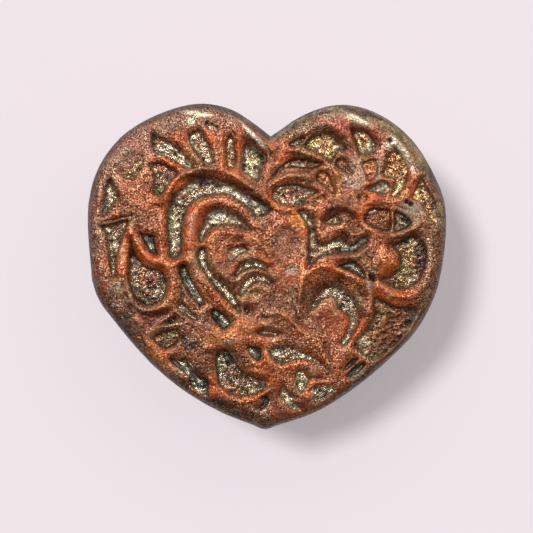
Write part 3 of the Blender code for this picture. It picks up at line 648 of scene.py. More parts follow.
# A near-black for dark flecks, darker places on the sides and the lip's painted shade.
NEAR_BLACK = "#161413"
BARE_CLAY = "#2a2725"
GREY_CLAY = "#4a4440"

# What is laid over the fired colours: name: (colour, strength). The gold coat on arrises and the pale
# coats on runs and shiny runs are painted highlights; the shade and the lip are painted shade; some
# are darker places on the sides.
COATS = {
    "arris_highlight": ("#c8a078", 0.28), "pockets": (POCKET_COPPER, 0.60), "grey": ("#80695c", 0.45),
    "shade": ("#221a10", 1.00), "run_and_highlight": (PALE_GLAZE_HIGHLIGHT, 0.70), "lip": (NEAR_BLACK, 0.75),
    "gloss_and_highlight": (PALE_GLAZE_HIGHLIGHT, 0.85), "side_brown": (RIM_BROWN, 0.75), "side_darkening": (NEAR_BLACK, 0.50),
    "rosy": (POCKET_COPPER, 0.60), "olive": (RIM_OLIVE, 0.70), "dish_darkening": (NEAR_BLACK, 0.85),
    "inside_darkening": (NEAR_BLACK, 1.00), "clay": (GREY_CLAY, 1.00),
}

# The glaze and the clay: (pale flecks, gold flecks, height of the grain, gloss). The glaze's pale and
# gold flecks are partly painted glints.
GLAZE = ((0.62, 0.50, 0.35), (0.60, 0.26, 0.07), 0.20, 0.34)
CLAY = ((0.09, 0.08, 0.07), (0.07, 0.05, 0.04), 0.08, 0.0)

# The widths of their grain in millimetres, and how near its middle value the crawled noise creases.
FINE_GRAIN = 0.36
COARSE_GRAIN = 1.1
PEBBLE_SIZE = 0.65
CRAWL_SIZE = 1.3
CREASE_WIDTH = 0.07

# What the grain does to brightness, roughness and clear coat: (noise from, noise to, value from, to).
FINE_BRIGHTNESS = (0.34, 0.66, -1.1, 1.0)
COARSE_BRIGHTNESS = (0.3, 0.7, 0.8, 1.2)
COARSE_ROUGHNESS = (0.3, 0.7, -0.08, 0.12)
COAT_BREAKS = (0.36, 0.64, 0.0)

# How strongly the grain swings where the glaze sparkles, where it has crawled and everywhere, and
# the least brightness that it leaves.
SPARKLE_GRIT = 0.7
CRAWL_GRIT = 0.1
LEAST_GRIT = 0.40
DARKEST_GRIT = 0.26

# Flecks: (width, noise where they begin, noise where they are full, most that they cover). Gold and
# pale flecks are partly painted glints.
GOLD_FLECKS = (0.52, 0.56, 0.63, 0.60)
PALE_FLECKS = (0.36, 0.56, 0.63, 0.80)
SOOT = (0.62, 0.44, 0.37, 0.75)

# How dark and deep a crease is, and how much the fine grain counts in the relief.
CREASE_STRENGTH = 0.85
CREASE_DEPTH = 0.4
FINE_RELIEF = 0.55

# The clear glaze over the colour. Where the fine grain peaks, it is this many times the gloss.
COAT_PEAK = 2.6
COAT_ROUGHNESS = 0.07
COAT_IOR = 1.6
DULL_REFLECTION = 0.25

# The studio: each light is (direction that it shines from, power, width in degrees, colour).
FLOOR_COLOUR = (0.300, 0.273, 0.293, 1.0)
FLOOR_GLOW = (0.330, 0.298, 0.316, 1.0)
FLOOR_HALF = 4.0
FLOOR_KEY = 3.35
SKY_COLOUR = (1.0, 0.955, 0.89, 1.0)
SKY_STRENGTHS = (0.05, 0.98)
WINDOW_SIDE = (0.15, 0.75, 0.65)
KEY = ((-0.35, 0.25, 0.90), 1.07, 13, (1.0, 0.99, 0.97))
GLINTS = [
    ((0.10, 0.62, 0.78), 0.36, 7, (1.0, 0.93, 0.80)),
    ((0.50, 0.40, 0.77), 0.30, 5, (1.0, 0.95, 0.84)),
    ((-0.40, 0.50, 0.77), 0.25, 5, (1.0, 0.94, 0.82)),
]

# The picture: a field this wide near the lid's top, with the heart a hair right of the middle.
FIELD = 133.0
FIELD_DROP = 2.0
LENS = 100.0
SENSOR = 36.0
CAMERA_X = -0.125


def linear(code):
    """A #rrggbb colour as linear RGB."""
    values = np.array([int(code[k:k + 2], 16) for k in (1, 3, 5)]) / 255
    return np.where(values <= 0.04045, values / 12.92, ((values + 0.055) / 1.055) ** 2.4)


def ease(share):
    """0 to 1 with soft ends."""
    share = np.clip(share, 0, 1)
    return share * share * (3 - 2 * share)


def blend(first, second, share):
    """Colours mixed row by row."""
    return first + (second - first) * np.asarray(share)[..., None]


def coat(tint, name, share):
    """The colours under a coat of glaze, soot or clay that covers each point by a share."""
    colour, strength = COATS[name]
    return blend(tint, linear(colour), strength * share)


def plain_colour(code, count):
    """One colour at every point."""
    return np.tile(linear(code), (count, 1))


def spline(points, closed, steps=6):
    """A Catmull-Rom curve through the points, as a dense path. In the tables, points are text: "x,y x,y"."""
    if isinstance(points, str):
        points = [pair.split(",") for pair in points.split()]
    p = np.array(points, float)
    if closed:
        p = np.vstack([p[-1], p, p[:2]])
    else:
        p = np.vstack([2 * p[0] - p[1], p, 2 * p[-1] - p[-2]])
    t = np.linspace(0, 1, steps, endpoint=False)[:, None]
    spans = []
    for a, b, c, d in zip(p, p[1:], p[2:], p[3:]):
        spans.append(
            b + 0.5 * t * ((c - a) + t * ((2 * a - 5 * b + 4 * c - d) + t * (3 * (b - c) + d - a)))
        )
    return np.vstack(spans if closed else [*spans, p[-2]])


def measure(points, path, closed=True):
    """Each point's distance to the path, and whether it is inside it. Works through the points in lots."""
    lot = 2000
    tiny = 1e-12
    start = path if closed else path[:-1]
    end = np.roll(path, -1, axis=0) if closed else path[1:]
    (x0, y0), (x1, y1) = start.T, end.T
    dx, dy = x1 - x0, y1 - y0
    length2 = dx**2 + dy**2 + tiny
    slope = dx / np.where(dy == 0, tiny, dy)
    distance = np.empty(len(points))
    inside = np.zeros(len(points), bool)
    for first in range(0, len(points), lot):
        x, y = points[first:first + lot, :2].T[..., None]
        share = np.clip(((x - x0) * dx + (y - y0) * dy) / length2, 0, 1)
        gap = (x - x0 - share * dx) ** 2 + (y - y0 - share * dy) ** 2
        distance[first:first + lot] = np.sqrt(gap.min(1))
        if closed:
            crossed = ((y0 > y) != (y1 > y)) & (x < x0 + (y - y0) * slope)
            inside[first:first + lot] = crossed.sum(1) % 2 == 1
    return distance, inside


def near(points, path, reach):
    """Which points lie in the path's box, made bigger by `reach`."""
    low, high = path.min(0) - reach, path.max(0) + reach
    return np.flatnonzero(((points[:, :2] > low) & (points[:, :2] < high)).all(1))


def beside(points, line, half_width):
    """The points near a line, and each one's share of a rounded ridge that runs along it."""
    path = spline(line, closed=False)
    rows = near(points, path, 3 * half_width)
    distance, _ = measure(points[rows], path, closed=False)
    return rows, np.exp(-((distance / half_width) ** 2))


def around(line, half_width):
    """A lens-shaped outline about a middle line, blunt at both ends."""
    blunt = 0.04
    fullness = 0.6
    path = spline(line, closed=False)
    ahead = np.gradient(path, axis=0)
    side = np.column_stack([-ahead[:, 1], ahead[:, 0]]) / np.linalg.norm(ahead, axis=1)[:, None]
    swell = np.sin(np.linspace(blunt, 1 - blunt, len(path)) * pi)[:, None] ** fullness
    swell = half_width * swell
    return np.vstack([path + side * swell, (path - side * swell)[::-1]])


def noise(points, size, seed, octaves=1):
    """Smooth noise from about -1 to 1 in space, with lumps `size` across.

    The lattice is turned against the axes and moved from octave to octave, so that no rows show.
    """
    cells = 32
    shift = 5.37
    gain = 1.4
    turn = np.array([[0.80, 0.36, 0.48], [-0.60, 0.48, 0.64], [0.0, -0.80, 0.60]])
    lattice = np.random.default_rng(seed).uniform(-1, 1, (cells, cells, cells))
    turned = points @ turn
    total = np.zeros(len(points))
    for octave in range(octaves):
        place = turned / size * 2**octave + shift * octave
        cell = np.floor(place).astype(int)
        part = ease(place - cell)
        for corner in itertools.product((0, 1), repeat=3):
            i, j, k = ((cell + corner) % cells).T
            share = np.prod(np.where(corner, part, 1 - part), axis=1)
            total += lattice[i, j, k] * share / 2**octave
    return total * gain


def uneven(points, name):
    """Something that varies about its middle value from place to place."""
    middle, strength, *lumps = UNEVEN[name]
    return middle + strength * noise(points, *lumps)


def wrinkles(points):
    """Winding wrinkles from about -1 to 1, as in glaze that has crawled and cooled."""
    fold = 2.2
    drift = [uneven(points, "wrinkle_drift_x"), uneven(points, "wrinkle_drift_y")]
    bent = points + np.column_stack([*drift, np.zeros(len(points))])
    return 1 - fold * abs(uneven(bent, "wrinkle_folds")) + uneven(points, "wrinkle_grain")


def mottle(points, tint, seed, share=1.0):
    """Uneven firing: the glaze drifts from bright to brown copper by a share, with darker clouds."""
    size, middle, strength = BROWNING
    drift = middle + strength * noise(points, size, seed, 2)
    browner = tint * linear(BROWN_COPPER) / linear(BRIGHT_COPPER)
    tint = blend(tint, browner, share * ease(drift))
    size, strength = CLOUDS
    return tint * (1 + strength * noise(points, size, seed + 1, 2))[:, None]


def spot(points, x, y, half_length, half_width, turn=0):
    """A soft spot: 1 in its middle, falling to 0 outside. Its long side is turned by some degrees."""
    falloff = 1.2
    flatness = 1.5
    c, s = cos(radians(turn)), sin(radians(turn))
    u = ((points[:, 0] - x) * c + (points[:, 1] - y) * s) / half_length
    v = ((points[:, 1] - y) * c - (points[:, 0] - x) * s) / half_width
    return np.exp(-falloff * (u * u + v * v) ** flatness)


def lay_patches(tint, points, patches, break_up, room):
    """Ragged patches of colour, laid where there is room, and how far each point is covered."""
    gain = 1.6
    loss = 0.2
    faint = 0.02
    covered = np.zeros(len(points))
    for colour, strength, *shape in patches:
        weight = spot(points, *shape)
        share = strength * ease(weight * gain - loss + break_up * (weight > faint)) * room
        tint = blend(tint, linear(colour), share)
        covered = np.maximum(covered, share)
    return tint, covered


class Heart:
    """The outline of the CAD lid and the curves inside it."""

    # How level the points of its ring are, where the notch may be, and how far in the curves go.
    level = 0.1
    notch_search = radians(12)
    deepest_share = 0.7
    depth_steps = 29

    def __init__(self):
        place = np.array([v.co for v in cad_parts["lid_slab"].data.vertices]) / MM
        widest = place[place[:, 0].argmax(), 2]
        ring = np.unique(place[abs(place[:, 2] - widest) < self.level][:, :2].round(3), axis=0)
        angle = np.arctan2(ring[:, 1], ring[:, 0])
        upper = np.flatnonzero(abs(angle - pi / 2) < self.notch_search)
        notch = angle[upper[np.linalg.norm(ring[upper], axis=1).argmin()]]
        ring = ring[np.argsort((angle - notch) % (2 * pi))]
        path = spline(np.vstack([ring, ring[0]]), closed=False, steps=24)
        run = np.concatenate([[0], np.cumsum(np.linalg.norm(np.diff(path, axis=0), axis=1))])
        self.path, self.run = path, run / run[-1]
        self.dense = self.at(np.arange(AROUND) / AROUND)
        self.shares = np.linspace(0, self.deepest_share, self.depth_steps)
        points = self.dense[:, None] * (1 - self.shares[None, :, None])
        depth = self.depth(points.reshape(-1, 2))
        self.depths = np.maximum.accumulate(depth.reshape(AROUND, -1), axis=1)
        self.depths[:, 0] = 0

    def at(self, t):
        """Points on the outline, t from 0 at the notch to 1, counter-clockwise."""
        return np.column_stack([np.interp(t, self.run, self.path[:, k]) for k in (0, 1)])

    def depth(self, points):
        """How far each point is from the outline."""
        return measure(points, self.dense[::2])[0]

    def inset(self, distance, every=4):
        """The outline moved inwards, as every so many of its points."""
        rows = range(0, AROUND, every)
        share = np.array([np.interp(distance, self.depths[i], self.shares) for i in rows])
        return self.dense[::every] * (1 - share[:, None])

    def shrunk(self, share, every=8):
        """The outline drawn in towards the middle by a share."""
        return self.dense[::every] * share


def ring_grid():
    """A square grid of points that are rings about the middle: each one's ring and place around."""
    side = np.arange(-LID_RINGS, LID_RINGS + 1)
    i, j = (a.ravel() for a in np.meshgrid(side, side, indexing="ij"))
    ring = np.maximum(abs(i), abs(j))
    place = np.select(
        [(j == ring) & (i <= 0), i == -ring, j == -ring, i == ring],
        [-i, 2 * ring - j, 4 * ring + i, 6 * ring + j],
        8 * ring - i,
    )
    return ring, place % np.maximum(8 * ring, 1)


def cut_outlines():
    """Every cut: (name, depth, width of its wall, finish, outline)."""
    cuts = [(name, *row[:3], spline(row[3], closed=True)) for name, row in CUTS.items()]
    cuts += [("slit", depth, SLIT_WALL, look, around(line, width)) for depth, width, look, line in SLITS]
    turn = np.linspace(0, 2 * pi, 14, endpoint=False)
    for x, y, radius in PINHOLES:
        hole = np.column_stack([x + radius * np.cos(turn), y + radius * np.sin(turn)])
        cuts.append(("pinhole", PINHOLE_DEPTH, PINHOLE_WALL, "hole", hole))
    return cuts


def make_cut(points, marks, name, depth, width, look, path):
    """One cut: its leaning wall, rolled edge, pooled glaze, painted shade on wall and pool, and finished
    floor.
    """
    rows = near(points, path, ROLL_WIDTH)
    distance, inside = measure(points[rows], path)
    lean = width
    corner = distance
    pool_width = min(POOL_WIDTH, POOL_OF_WALL * width)
    if name in FLOORS:
        away, on_floor = measure(points[rows], spline(FLOORS[name], closed=True))
        lean = np.maximum(distance + np.where(on_floor, 0, away), STEEPEST_WALL)
        corner = np.where(on_floor, POOL_THINNING * away, away)
        pool_width = POOL_WIDTH
    share = np.where(inside, ease(distance / lean), 0)
    drop = PINHOLE_DROP if name == "pinhole" else ROLL_DROP * min(depth, ROLL_DEEPEST)
    outside = np.where(inside, 0, distance) / ROLL_WIDTH
    flat = inside * ease(share * FINISH_GAIN - FINISH_BEGINS)
    colour, metal, rough, tooling = FINISHES[look]
    fresh = {
        "cut": depth * share,
        "roll": drop * (1 - np.clip(outside, 0, 1)) ** 2,
        "wall": inside * 4 * share * (1 - share) * min(1, depth),
        "pool": inside * ease(POOL_START - corner / pool_width) * min(1, depth),
        "bumps": tooling * flat,
        "floor": flat,
    }
    for mark, new in fresh.items():
        marks[mark][rows] = np.maximum(marks[mark][rows], new)
    marks["tint"][rows] = blend(marks["tint"][rows], linear(colour), flat)
    marks["metal"][rows] += (metal - marks["metal"][rows]) * flat
    marks["rough"][rows] += (rough - marks["rough"][rows]) * flat


def carve(points):
    """The carving at each point: its height, and the marks that it leaves there."""
    count = len(points)
    marks = {name: np.zeros(count) for name in ("cut", "roll", "wall", "pool", "bumps", "floor", "run_and_highlight")}
    marks["tint"] = plain_colour(BRIGHT_COPPER, count)
    marks["metal"] = np.full(count, COPPER_METAL)
    marks["rough"] = np.full(count, COPPER_ROUGH)
    for cut in cut_outlines():
        make_cut(points, marks, *cut)
    height = -marks["roll"] - marks["cut"]
    for depth, rim, bottom in HOLLOWS:
        path = spline(rim, closed=True)
        rows = near(points, path, 0)
        from_rim, inside = measure(points[rows], path)
        from_bottom, lowest = measure(points[rows], spline(bottom, closed=True))
        share = np.where(lowest, 1, from_rim / (from_rim + from_bottom + 1e-6))
        height[rows] -= depth * ease(share) * inside
    for half_width, line in STREAKS:
        rows, share = beside(points, line, half_width)
        marks["run_and_highlight"][rows] = np.maximum(marks["run_and_highlight"][rows], share * marks["floor"][rows])
    height += STREAK_HEIGHT * marks["run_and_highlight"]
    raised = 1 - marks["floor"]
    for rise, half_width, line in RIDGES:
        rows, share = beside(points, line, half_width)
        height[rows] += rise * share * raised[rows]
    for rise, *shape in BOSSES:
        height += rise * spot(points, *shape) * raised
    return height, marks


def smooth_grid(values, passes):
    """Values on the lid's grid, averaged with their neighbours again and again."""
    side = 2 * LID_RINGS + 1
    grid = values.reshape(side, side).copy()
    for _ in range(passes):
        padded = np.pad(grid, 1, mode="edge")
        grid = (padded[:-2, 1:-1] + padded[2:, 1:-1] + padded[1:-1, :-2] + padded[1:-1, 2:] + grid) / 5
    return grid.ravel()


def add_object(name, data):
    """An object in the scene."""
    made = bpy.data.objects.new(name, data)
    bpy.context.scene.collection.objects.link(made)
    return made


def make_mesh(name, points, faces, values, tint, look):
    """A smooth mesh from points in millimetres, with values and a colour at each point."""
    mesh = bpy.data.meshes.new(name)
    mesh.from_pydata((points * MM).tolist(), [], faces)
    mesh.shade_smooth()
    for key, numbers in values.items():
        layer = mesh.attributes.new(key, "FLOAT", "POINT")
        layer.data.foreach_set("value", np.full(len(points), numbers, np.float32))
    layer = mesh.attributes.new("tint", "FLOAT_COLOR", "POINT")
    rgba = np.column_stack([np.clip(tint, 0, 1), np.ones(len(points))])
    layer.data.foreach_set("color", rgba.astype(np.float32).ravel())
    mesh.materials.append(look)
    return add_object(name, mesh)


def band(low, high):
    """Faces between two rings of point numbers: quads, or triangles where one has half as many."""
    n = len(low)
    if len(high) > n:
        return [face[::-1] for face in band(high, low)]
    turn = [(i + 1) % n for i in range(n)]
    if len(high) == n:
        return [(low[i], low[turn[i]], high[turn[i]], high[i]) for i in range(n)]
    faces = []
    for i in range(len(high)):
        j = (i + 1) % len(high)
        a, b, c = low[2 * i], low[2 * i + 1], low[(2 * i + 2) % n]
        faces += [(a, b, high[i]), (b, high[j], high[i]), (b, c, high[j])]
    return faces


def stack(rings, start=0):
    """Points and faces of a stack of rings, and the point numbers of each ring."""
    numbers = []
    for ring in rings:
        numbers.append(np.arange(start, start + len(ring)))
        start += len(ring)
    faces = [face for low, high in zip(numbers, numbers[1:]) for face in band(low, high)]
    return np.vstack(rings), faces, numbers


def fan(ring, middle):
    """Triangles that close a ring on its middle point."""
    return [(ring[i], ring[(i + 1) % len(ring)], middle) for i in range(len(ring))]


def at_height(flat, height):
    """Flat points lifted to a height."""
    return np.column_stack([flat, np.full(len(flat), 1.0) * height])


def push(points, distance):
    """Points moved outwards from the heart's middle, sideways only."""
    outward = points[:, :2] / (np.linalg.norm(points[:, :2], axis=1)[:, None] + 1e-9)
    moved = points.copy()
    moved[:, :2] += outward * np.asarray(distance)[:, None]
    return moved


class LidTop:
    """The carved top of the lid, worked out in steps: form, carving, colours and gloss."""

    def __init__(self, heart):
        self.ring, self.place = ring_grid()
        self.along = self.place / np.maximum(8 * self.ring, 1)
        self.lay_out(heart)
        self.carve()
        self.find_edge_marks()
        self.tint = self.fire_copper()
        self.tint = self.glaze_floors(self.tint)
        self.tint = self.finish_edge(self.tint)
        self.values = self.gloss()

    def lay_out(self, heart):
        """The plain lid: each point's place, its depth inside the edge and its height."""
        inner = 1 - SHOULDER_WIDTH / np.linalg.norm(heart.dense, axis=1).mean()
        crown_rings = LID_RINGS - SHOULDER_RINGS
        turn = np.clip((LID_RINGS - self.ring) / SHOULDER_RINGS, 0, 1) * pi / 2
        on_shoulder = 1 - (1 - inner) * (1 - np.cos(turn))
        share = np.where(self.ring > crown_rings, on_shoulder, inner * self.ring / crown_rings)
        flat = heart.at(self.along) * share[:, None]
        self.depth = heart.depth(flat)
        self.depth[self.ring == LID_RINGS] = 0
        level = 1 - np.clip(self.depth / SHOULDER_WIDTH, 0, 1)
        round_off = np.sqrt(np.clip(1 - level**2, 0, 1))
        self.plain = SIDE_TOP + SHOULDER_HEIGHT * round_off + CROWN * (1 - share**2) * round_off
        self.solid = at_height(flat, 0.0)
        self.flat = push(self.solid, EDGE_BULGE * ease(1 - self.depth / BULGE_WIDTH))[:, :2]

    def carve(self):
        """The carved relief, and its crests and arrises."""
        height, self.marks = carve(self.solid)
        self.raised = 1 - self.marks["floor"]
        fade = ease(self.depth / CARVING_FADE)
        lumps = uneven(self.solid, "lid_lumps") + uneven(self.solid, "lid_dents")
        height = height * fade + lumps * (EDGE_LUMPS + (1 - EDGE_LUMPS) * fade)
        self.crest, self.arris = (
            np.clip((height - smooth_grid(height, passes)) / full, -1, 1)
            for passes, full, _ in (CREST, ARRIS)
        )
        self.crinkle = wrinkles(self.solid)
        height += TOOLING_HEIGHT * self.marks["bumps"] * fade * self.crinkle
        self.points = at_height(self.flat, self.plain + height)

    def find_edge_marks(self):
        """Where the rim's band with its painted shade and light, the lip's painted shade and the shiny runs
        are.
        """
        marks = self.marks
        self.turn = np.degrees(np.arctan2(self.flat[:, 1], self.flat[:, 0])) % 360
        width = np.interp(self.turn, RIM_ANGLES, RIM_WIDTHS)
        marks["rim"] = ease(BAND_START - self.depth / width + uneven(self.solid, "rim_edge"))
        # The lip: a near-black painted shade along the outermost edge, where the surface turns away.
        start, width = LIP_FADE
        marks["lip"] = ease(start - self.depth / width)
        run = np.column_stack([self.along * STREAKS_AROUND, self.depth, np.zeros(len(self.flat))])
        self.brushed = uneven(run, "brushed")
        # The shiny runs are glossier glaze with a painted highlight.
        gloss_and_highlight = np.zeros(len(self.flat))
        for shape in SHINES:
            gloss_and_highlight = np.maximum(gloss_and_highlight, spot(self.solid, *shape) * ease(1 + SHINE_BREAKS * self.brushed))
        marks["gloss_and_highlight"] = np.clip(SHINE_GAIN * gloss_and_highlight, 0, 1) * self.raised

    def fire_copper(self):
        """The raised clay: mottled copper, dull spots, and painted highlights and shade on crests and
        hollows.
        """
        self.break_up = uneven(self.solid, "patch_edges")
        copper = mottle(self.solid, self.marks["tint"], LID_FIRING, self.raised)
        copper, _ = lay_patches(copper, self.solid, PATCHES, self.break_up, self.raised)
        copper, dull = lay_patches(copper, self.solid, DULL_PATCHES, self.break_up, self.raised)
        self.marks["dull"] = dull
        # Painted light: crests and arrises are lightened as a highlight, hollows darkened as shade.
        light = CREST[2] * self.crest + ARRIS[2] * self.arris
        copper = copper * (1 + self.raised * light)[:, None]
        # A gold painted highlight along the sharpest arrises.
        arris_highlight = ease(HIGHLIGHT_GAIN * self.arris - HIGHLIGHT_BEGINS) * ease(uneven(self.solid, "arris_highlight"))
        return coat(copper, "arris_highlight", arris_highlight * self.raised)

    def glaze_floors(self, tint):
        """The floors of the cuts: copper pockets, patches of glaze and shaded stippling."""
        floor = self.marks["floor"]
        tooled = self.marks["bumps"] > POCKETED
        tint = coat(tint, "pockets", ease(uneven(self.solid, "pockets")) * floor * tooled)
        tint, _ = lay_patches(tint, self.solid, FLOOR_PATCHES, FLOOR_EDGES * self.break_up, floor)
        return tint * (1 + floor * (TOOLING_SHADE * self.crinkle + FLOOR_LIGHT))[:, None]

    def finish_edge(self, tint):
        """The grey shoulder, the band round the rim, the shade in the cuts and the runs of glaze."""
        marks = self.marks
        start, width = GREY_FADE
        grey = ease(start - self.depth / width) * ease(uneven(self.solid, "grey"))
        tint = coat(tint, "grey", grey * (1 - marks["gloss_and_highlight"]))
        # The band's olive side, at the upper right where the light falls, is painted light; its brown is
        # partly painted shade.
        painted_lit_side = OLIVE_WIDTH * np.cos(np.radians(self.turn - OLIVE_SIDE)) + uneven(self.solid, "olive_edge")
        painted_lit_side = ease(painted_lit_side)
        band_tint = blend(plain_colour(RIM_BROWN, len(tint)), linear(RIM_OLIVE), painted_lit_side)
        brushing = BAND_STREAKS + OLIVE_STREAKS * painted_lit_side
        brushing = brushing * np.clip(STREAK_CONTRAST * self.brushed, -1, 1)
        tint = blend(tint, band_tint * (1 + brushing)[:, None], BAND_COVER * marks["rim"])
        # Painted shade on the walls of the cuts and in the pools at their corners.
        tint = coat(tint, "shade", np.maximum(WALL_DARK * marks["wall"], POOL_DARK * marks["pool"]))
        # Streaks and shiny runs are painted pale as a highlight; the lip is painted with shade.
        marks["run_and_highlight"] = marks["run_and_highlight"] * ease(uneven(self.solid, "streak_breaks"))
        for name in ("run_and_highlight", "lip", "gloss_and_highlight"):
            tint = coat(tint, name, marks[name])
        return tint

    def gloss(self):
        """How metallic, rough, sparkling and crawled each point is."""
        marks = self.marks
        dry = 1 - marks["run_and_highlight"]
        metal = marks["metal"]
        rough = marks["rough"] * (1 - WET_SMOOTHNESS * marks["run_and_highlight"])
        lively = LIVELY_GAIN * self.tint.mean(1) / linear(BRIGHT_COPPER).mean() - LIVELY_LOSS
        # More sparkle on arrises: more painted glints on the crests.
        sparkle = uneven(self.solid, "sparkle") + ARRIS_SPARKLE * np.clip(self.arris, 0, 1)
        sparkle = np.clip(lively, LEAST_LIVELY, 1) * np.clip(sparkle, LEAST_SPARKLE, 1)
        for name, (metal_lost, rough_gained, sparkle_lost) in MARKS.items():
            metal = metal * (1 - metal_lost * marks[name])
            rough = rough + rough_gained * marks[name]
            sparkle = sparkle * (1 - sparkle_lost * marks[name])
        crawl = marks["floor"] * np.clip(marks["bumps"] / CRAWLED, 0, 1) * dry
        return {"metal": metal, "rough": rough, "sparkle": sparkle, "crawl": crawl}

    def faces(self):
        """The squares of the grid."""
        side = 2 * LID_RINGS + 1
        number = np.arange(side * side).reshape(side, side)
        corners = (number[:-1, :-1], number[1:, :-1], number[1:, 1:], number[:-1, 1:])
        return np.stack([c.ravel() for c in corners], axis=1).tolist()

    def edge(self):
        """The outermost ring's point numbers, in order."""
        edge = np.flatnonzero(self.ring == LID_RINGS)
        return edge[np.argsort(self.place[edge])]


def lid_side(heart, start):
    """The lid's side and flat underside, as rings that go down and then in."""
    side_bottom = UNDERSIDE + LOWER_EDGE
    rings = []
    for height in np.linspace(SIDE_TOP - 0.35, side_bottom, 8):
        ring = at_height(heart.dense, height)
        rings.append(push(ring, EDGE_BULGE + uneven(ring, "side_lumps")))
    for angle in np.array([1, 2, 3]) * pi / 6:
        inset = LOWER_EDGE - LOWER_EDGE * cos(angle)
        rings.append(at_height(heart.inset(inset, 1), side_bottom - LOWER_EDGE * sin(angle)))
    rings.append(at_height(heart.inset(2.2, 2), UNDERSIDE))
    rings += [at_height(heart.inset(inset), UNDERSIDE) for inset in (4.0, 7.0, 12.0)]
    rings += [at_height(heart.shrunk(share, 4), UNDERSIDE) for share in (0.5, 0.34, 0.18)]
    return stack(rings, start)


def make_lid(heart, glaze):
    """The carved lid, from its crown down its side to the flat underside."""
    top = LidTop(heart)
    under, under_faces, numbers = lid_side(heart, len(top.points))
    middle = len(top.points) + len(under)
    under_faces += band(top.edge(), numbers[0]) + fan(numbers[-1], middle)
    faces = top.faces() + [face[::-1] for face in under_faces]
    under = np.vstack([under, [[0, 0, UNDERSIDE]]])
    bare = under[:, 2] < UNDERSIDE + 0.3
    # The side is darker towards its bottom.
    low = ease((SIDE_TOP - under[:, 2]) / 3 + uneven(under, "side_darkening"))
    tint = mottle(under, plain_colour(BROWN_COPPER, len(under)), SIDE_FIRING)
    tint = coat(tint, "side_brown", 1 - low)
    tint = coat(tint, "side_darkening", low)
    tint[bare] = linear(BARE_CLAY)
    values = {
        key: np.concatenate([top.values[key], np.where(bare, *pair)]) for key, pair in PLAIN_VALUES.items()
    }
    points = np.vstack([top.points, under])
    piece = make_mesh("lid_carved", points, faces, values, np.vstack([top.tint, tint]), glaze)
    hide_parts("lid_slab")
    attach(piece, "lid")
    return piece


def collar_profile():
    """(setback, height) round the collar's section, flared where it is pressed on to the lid."""
    top = UNDERSIDE + 0.2
    half = FLANGE_THICKNESS / 2
    nose = FLANGE_LOW[2] + half
    front, back = FLANGE_SETBACK, FLANGE_SETBACK + FLANGE_THICKNESS
    straight = np.linspace(top - 2.4, nose, 5)
    profile = [(front - 0.9, top), (front - 0.25, top - 0.7), (front, top - 1.6)]
    profile += [(front, z) for z in straight]
    for angle in np.linspace(0, pi, 9)[1:-1]:
        profile.append((front + half - half * cos(angle), nose - half * sin(angle)))
    profile += [(back, z) for z in straight[::-1]]
    return profile + [(back + 0.2, top - 1.2), (back + 0.9, top - 0.4), (back + 1.5, top)]


def make_collar(heart, clay):
    """The strip of bare clay under the lid, pressed on by hand."""
    points, faces, numbers = stack([at_height(heart.inset(inset), z) for inset, z in collar_profile()])
    faces = [face[::-1] for face in faces + band(numbers[-1], numbers[0])]
    wobble = uneven(points, "collar_lumps") + uneven(points, "collar_dents")
    points = push(points, -wobble * (points[:, 2] < UNDERSIDE - 0.3))
    coat_share = ease(uneven(points, "collar_smoke"))
    tint = coat(plain_colour(BARE_CLAY, len(points)), "clay", coat_share)
    piece = make_mesh("lid_collar", points, faces, BARE_VALUES, tint, clay)
    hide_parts("lid_flange")
    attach(piece, "lid")
    return piece


def dish_profile():
    """(setback, height) round the dish's section: under its foot, up, over the rim and down inside."""
    foot, foot_edge, swell_height = FOOT_SETBACK + 0.9, 0.8, 16
    cove, lip, top = 3.2, 1.3, RIM_HEIGHT - 1.4
    inner = RIM_SETBACK + WALL_THICKNESS
    swell = FOOT_SETBACK + 0.2 - RIM_SETBACK
    profile = [(FOOT_SETBACK + inset, 0.0) for inset in (9.0, 4.0, 1.6)]
    profile += [(foot - 0.9 * sin(a), foot_edge - foot_edge * cos(a)) for a in (0.4, 0.9, 1.4)]
    for z in np.linspace(1.4, top, 34):
        profile.append((RIM_SETBACK + swell * max(0.0, 1 - z / swell_height) ** 2, z))
    for angle in np.linspace(0, pi, 13)[1:-1]:
        across = (1 - cos(angle)) / 2 * WALL_THICKNESS
        profile.append((RIM_SETBACK + across, RIM_HEIGHT - lip + lip * sin(angle) ** 0.6))
    profile += [(inner, z) for z in np.linspace(top, DISH_FLOOR + cove, 12)]
    for angle in np.linspace(0, pi / 2, 6)[1:]:
        profile.append((inner + cove - cove * cos(angle), DISH_FLOOR + cove - cove * sin(angle)))
    return profile + [(inner + 6, DISH_FLOOR)]


def dish_form(heart):
    """The hand-built dish: points, faces, which points are outside, and heights before the wobble."""
    rings = [at_height(heart.shrunk(share), 0.0) for share in (0.2, 0.5)]
    rings += [at_height(heart.inset(inset), z) for inset, z in dish_profile()]
    rings += [at_height(heart.shrunk(share), DISH_FLOOR) for share in (0.5, 0.35, 0.18)]
    points, faces, numbers = stack(rings)
    faces += [face[::-1] for face in fan(numbers[0], len(points))] + fan(numbers[-1], len(points) + 1)
    points = np.vstack([points, [[0, 0, 0], [0, 0, DISH_FLOOR]]])
    z = points[:, 2].copy()
    outside = heart.depth(points) < RIM_SETBACK + WALL_THICKNESS / 2
    free = ease(z / 3) * ease((RIM_HEIGHT + 2.0 - z) / 4)
    hand = sum(uneven(points, name) for name in ("dish_sway", "dish_lumps", "dish_dents"))
    points = push(points, hand * free * np.where(outside, 1.0, -0.5))
    on_floor = ~outside & (z > 1) & (z < DISH_FLOOR + 3)
    points[:, 2] += uneven(points, "floor_lumps") * on_floor
    return points, faces, outside, z


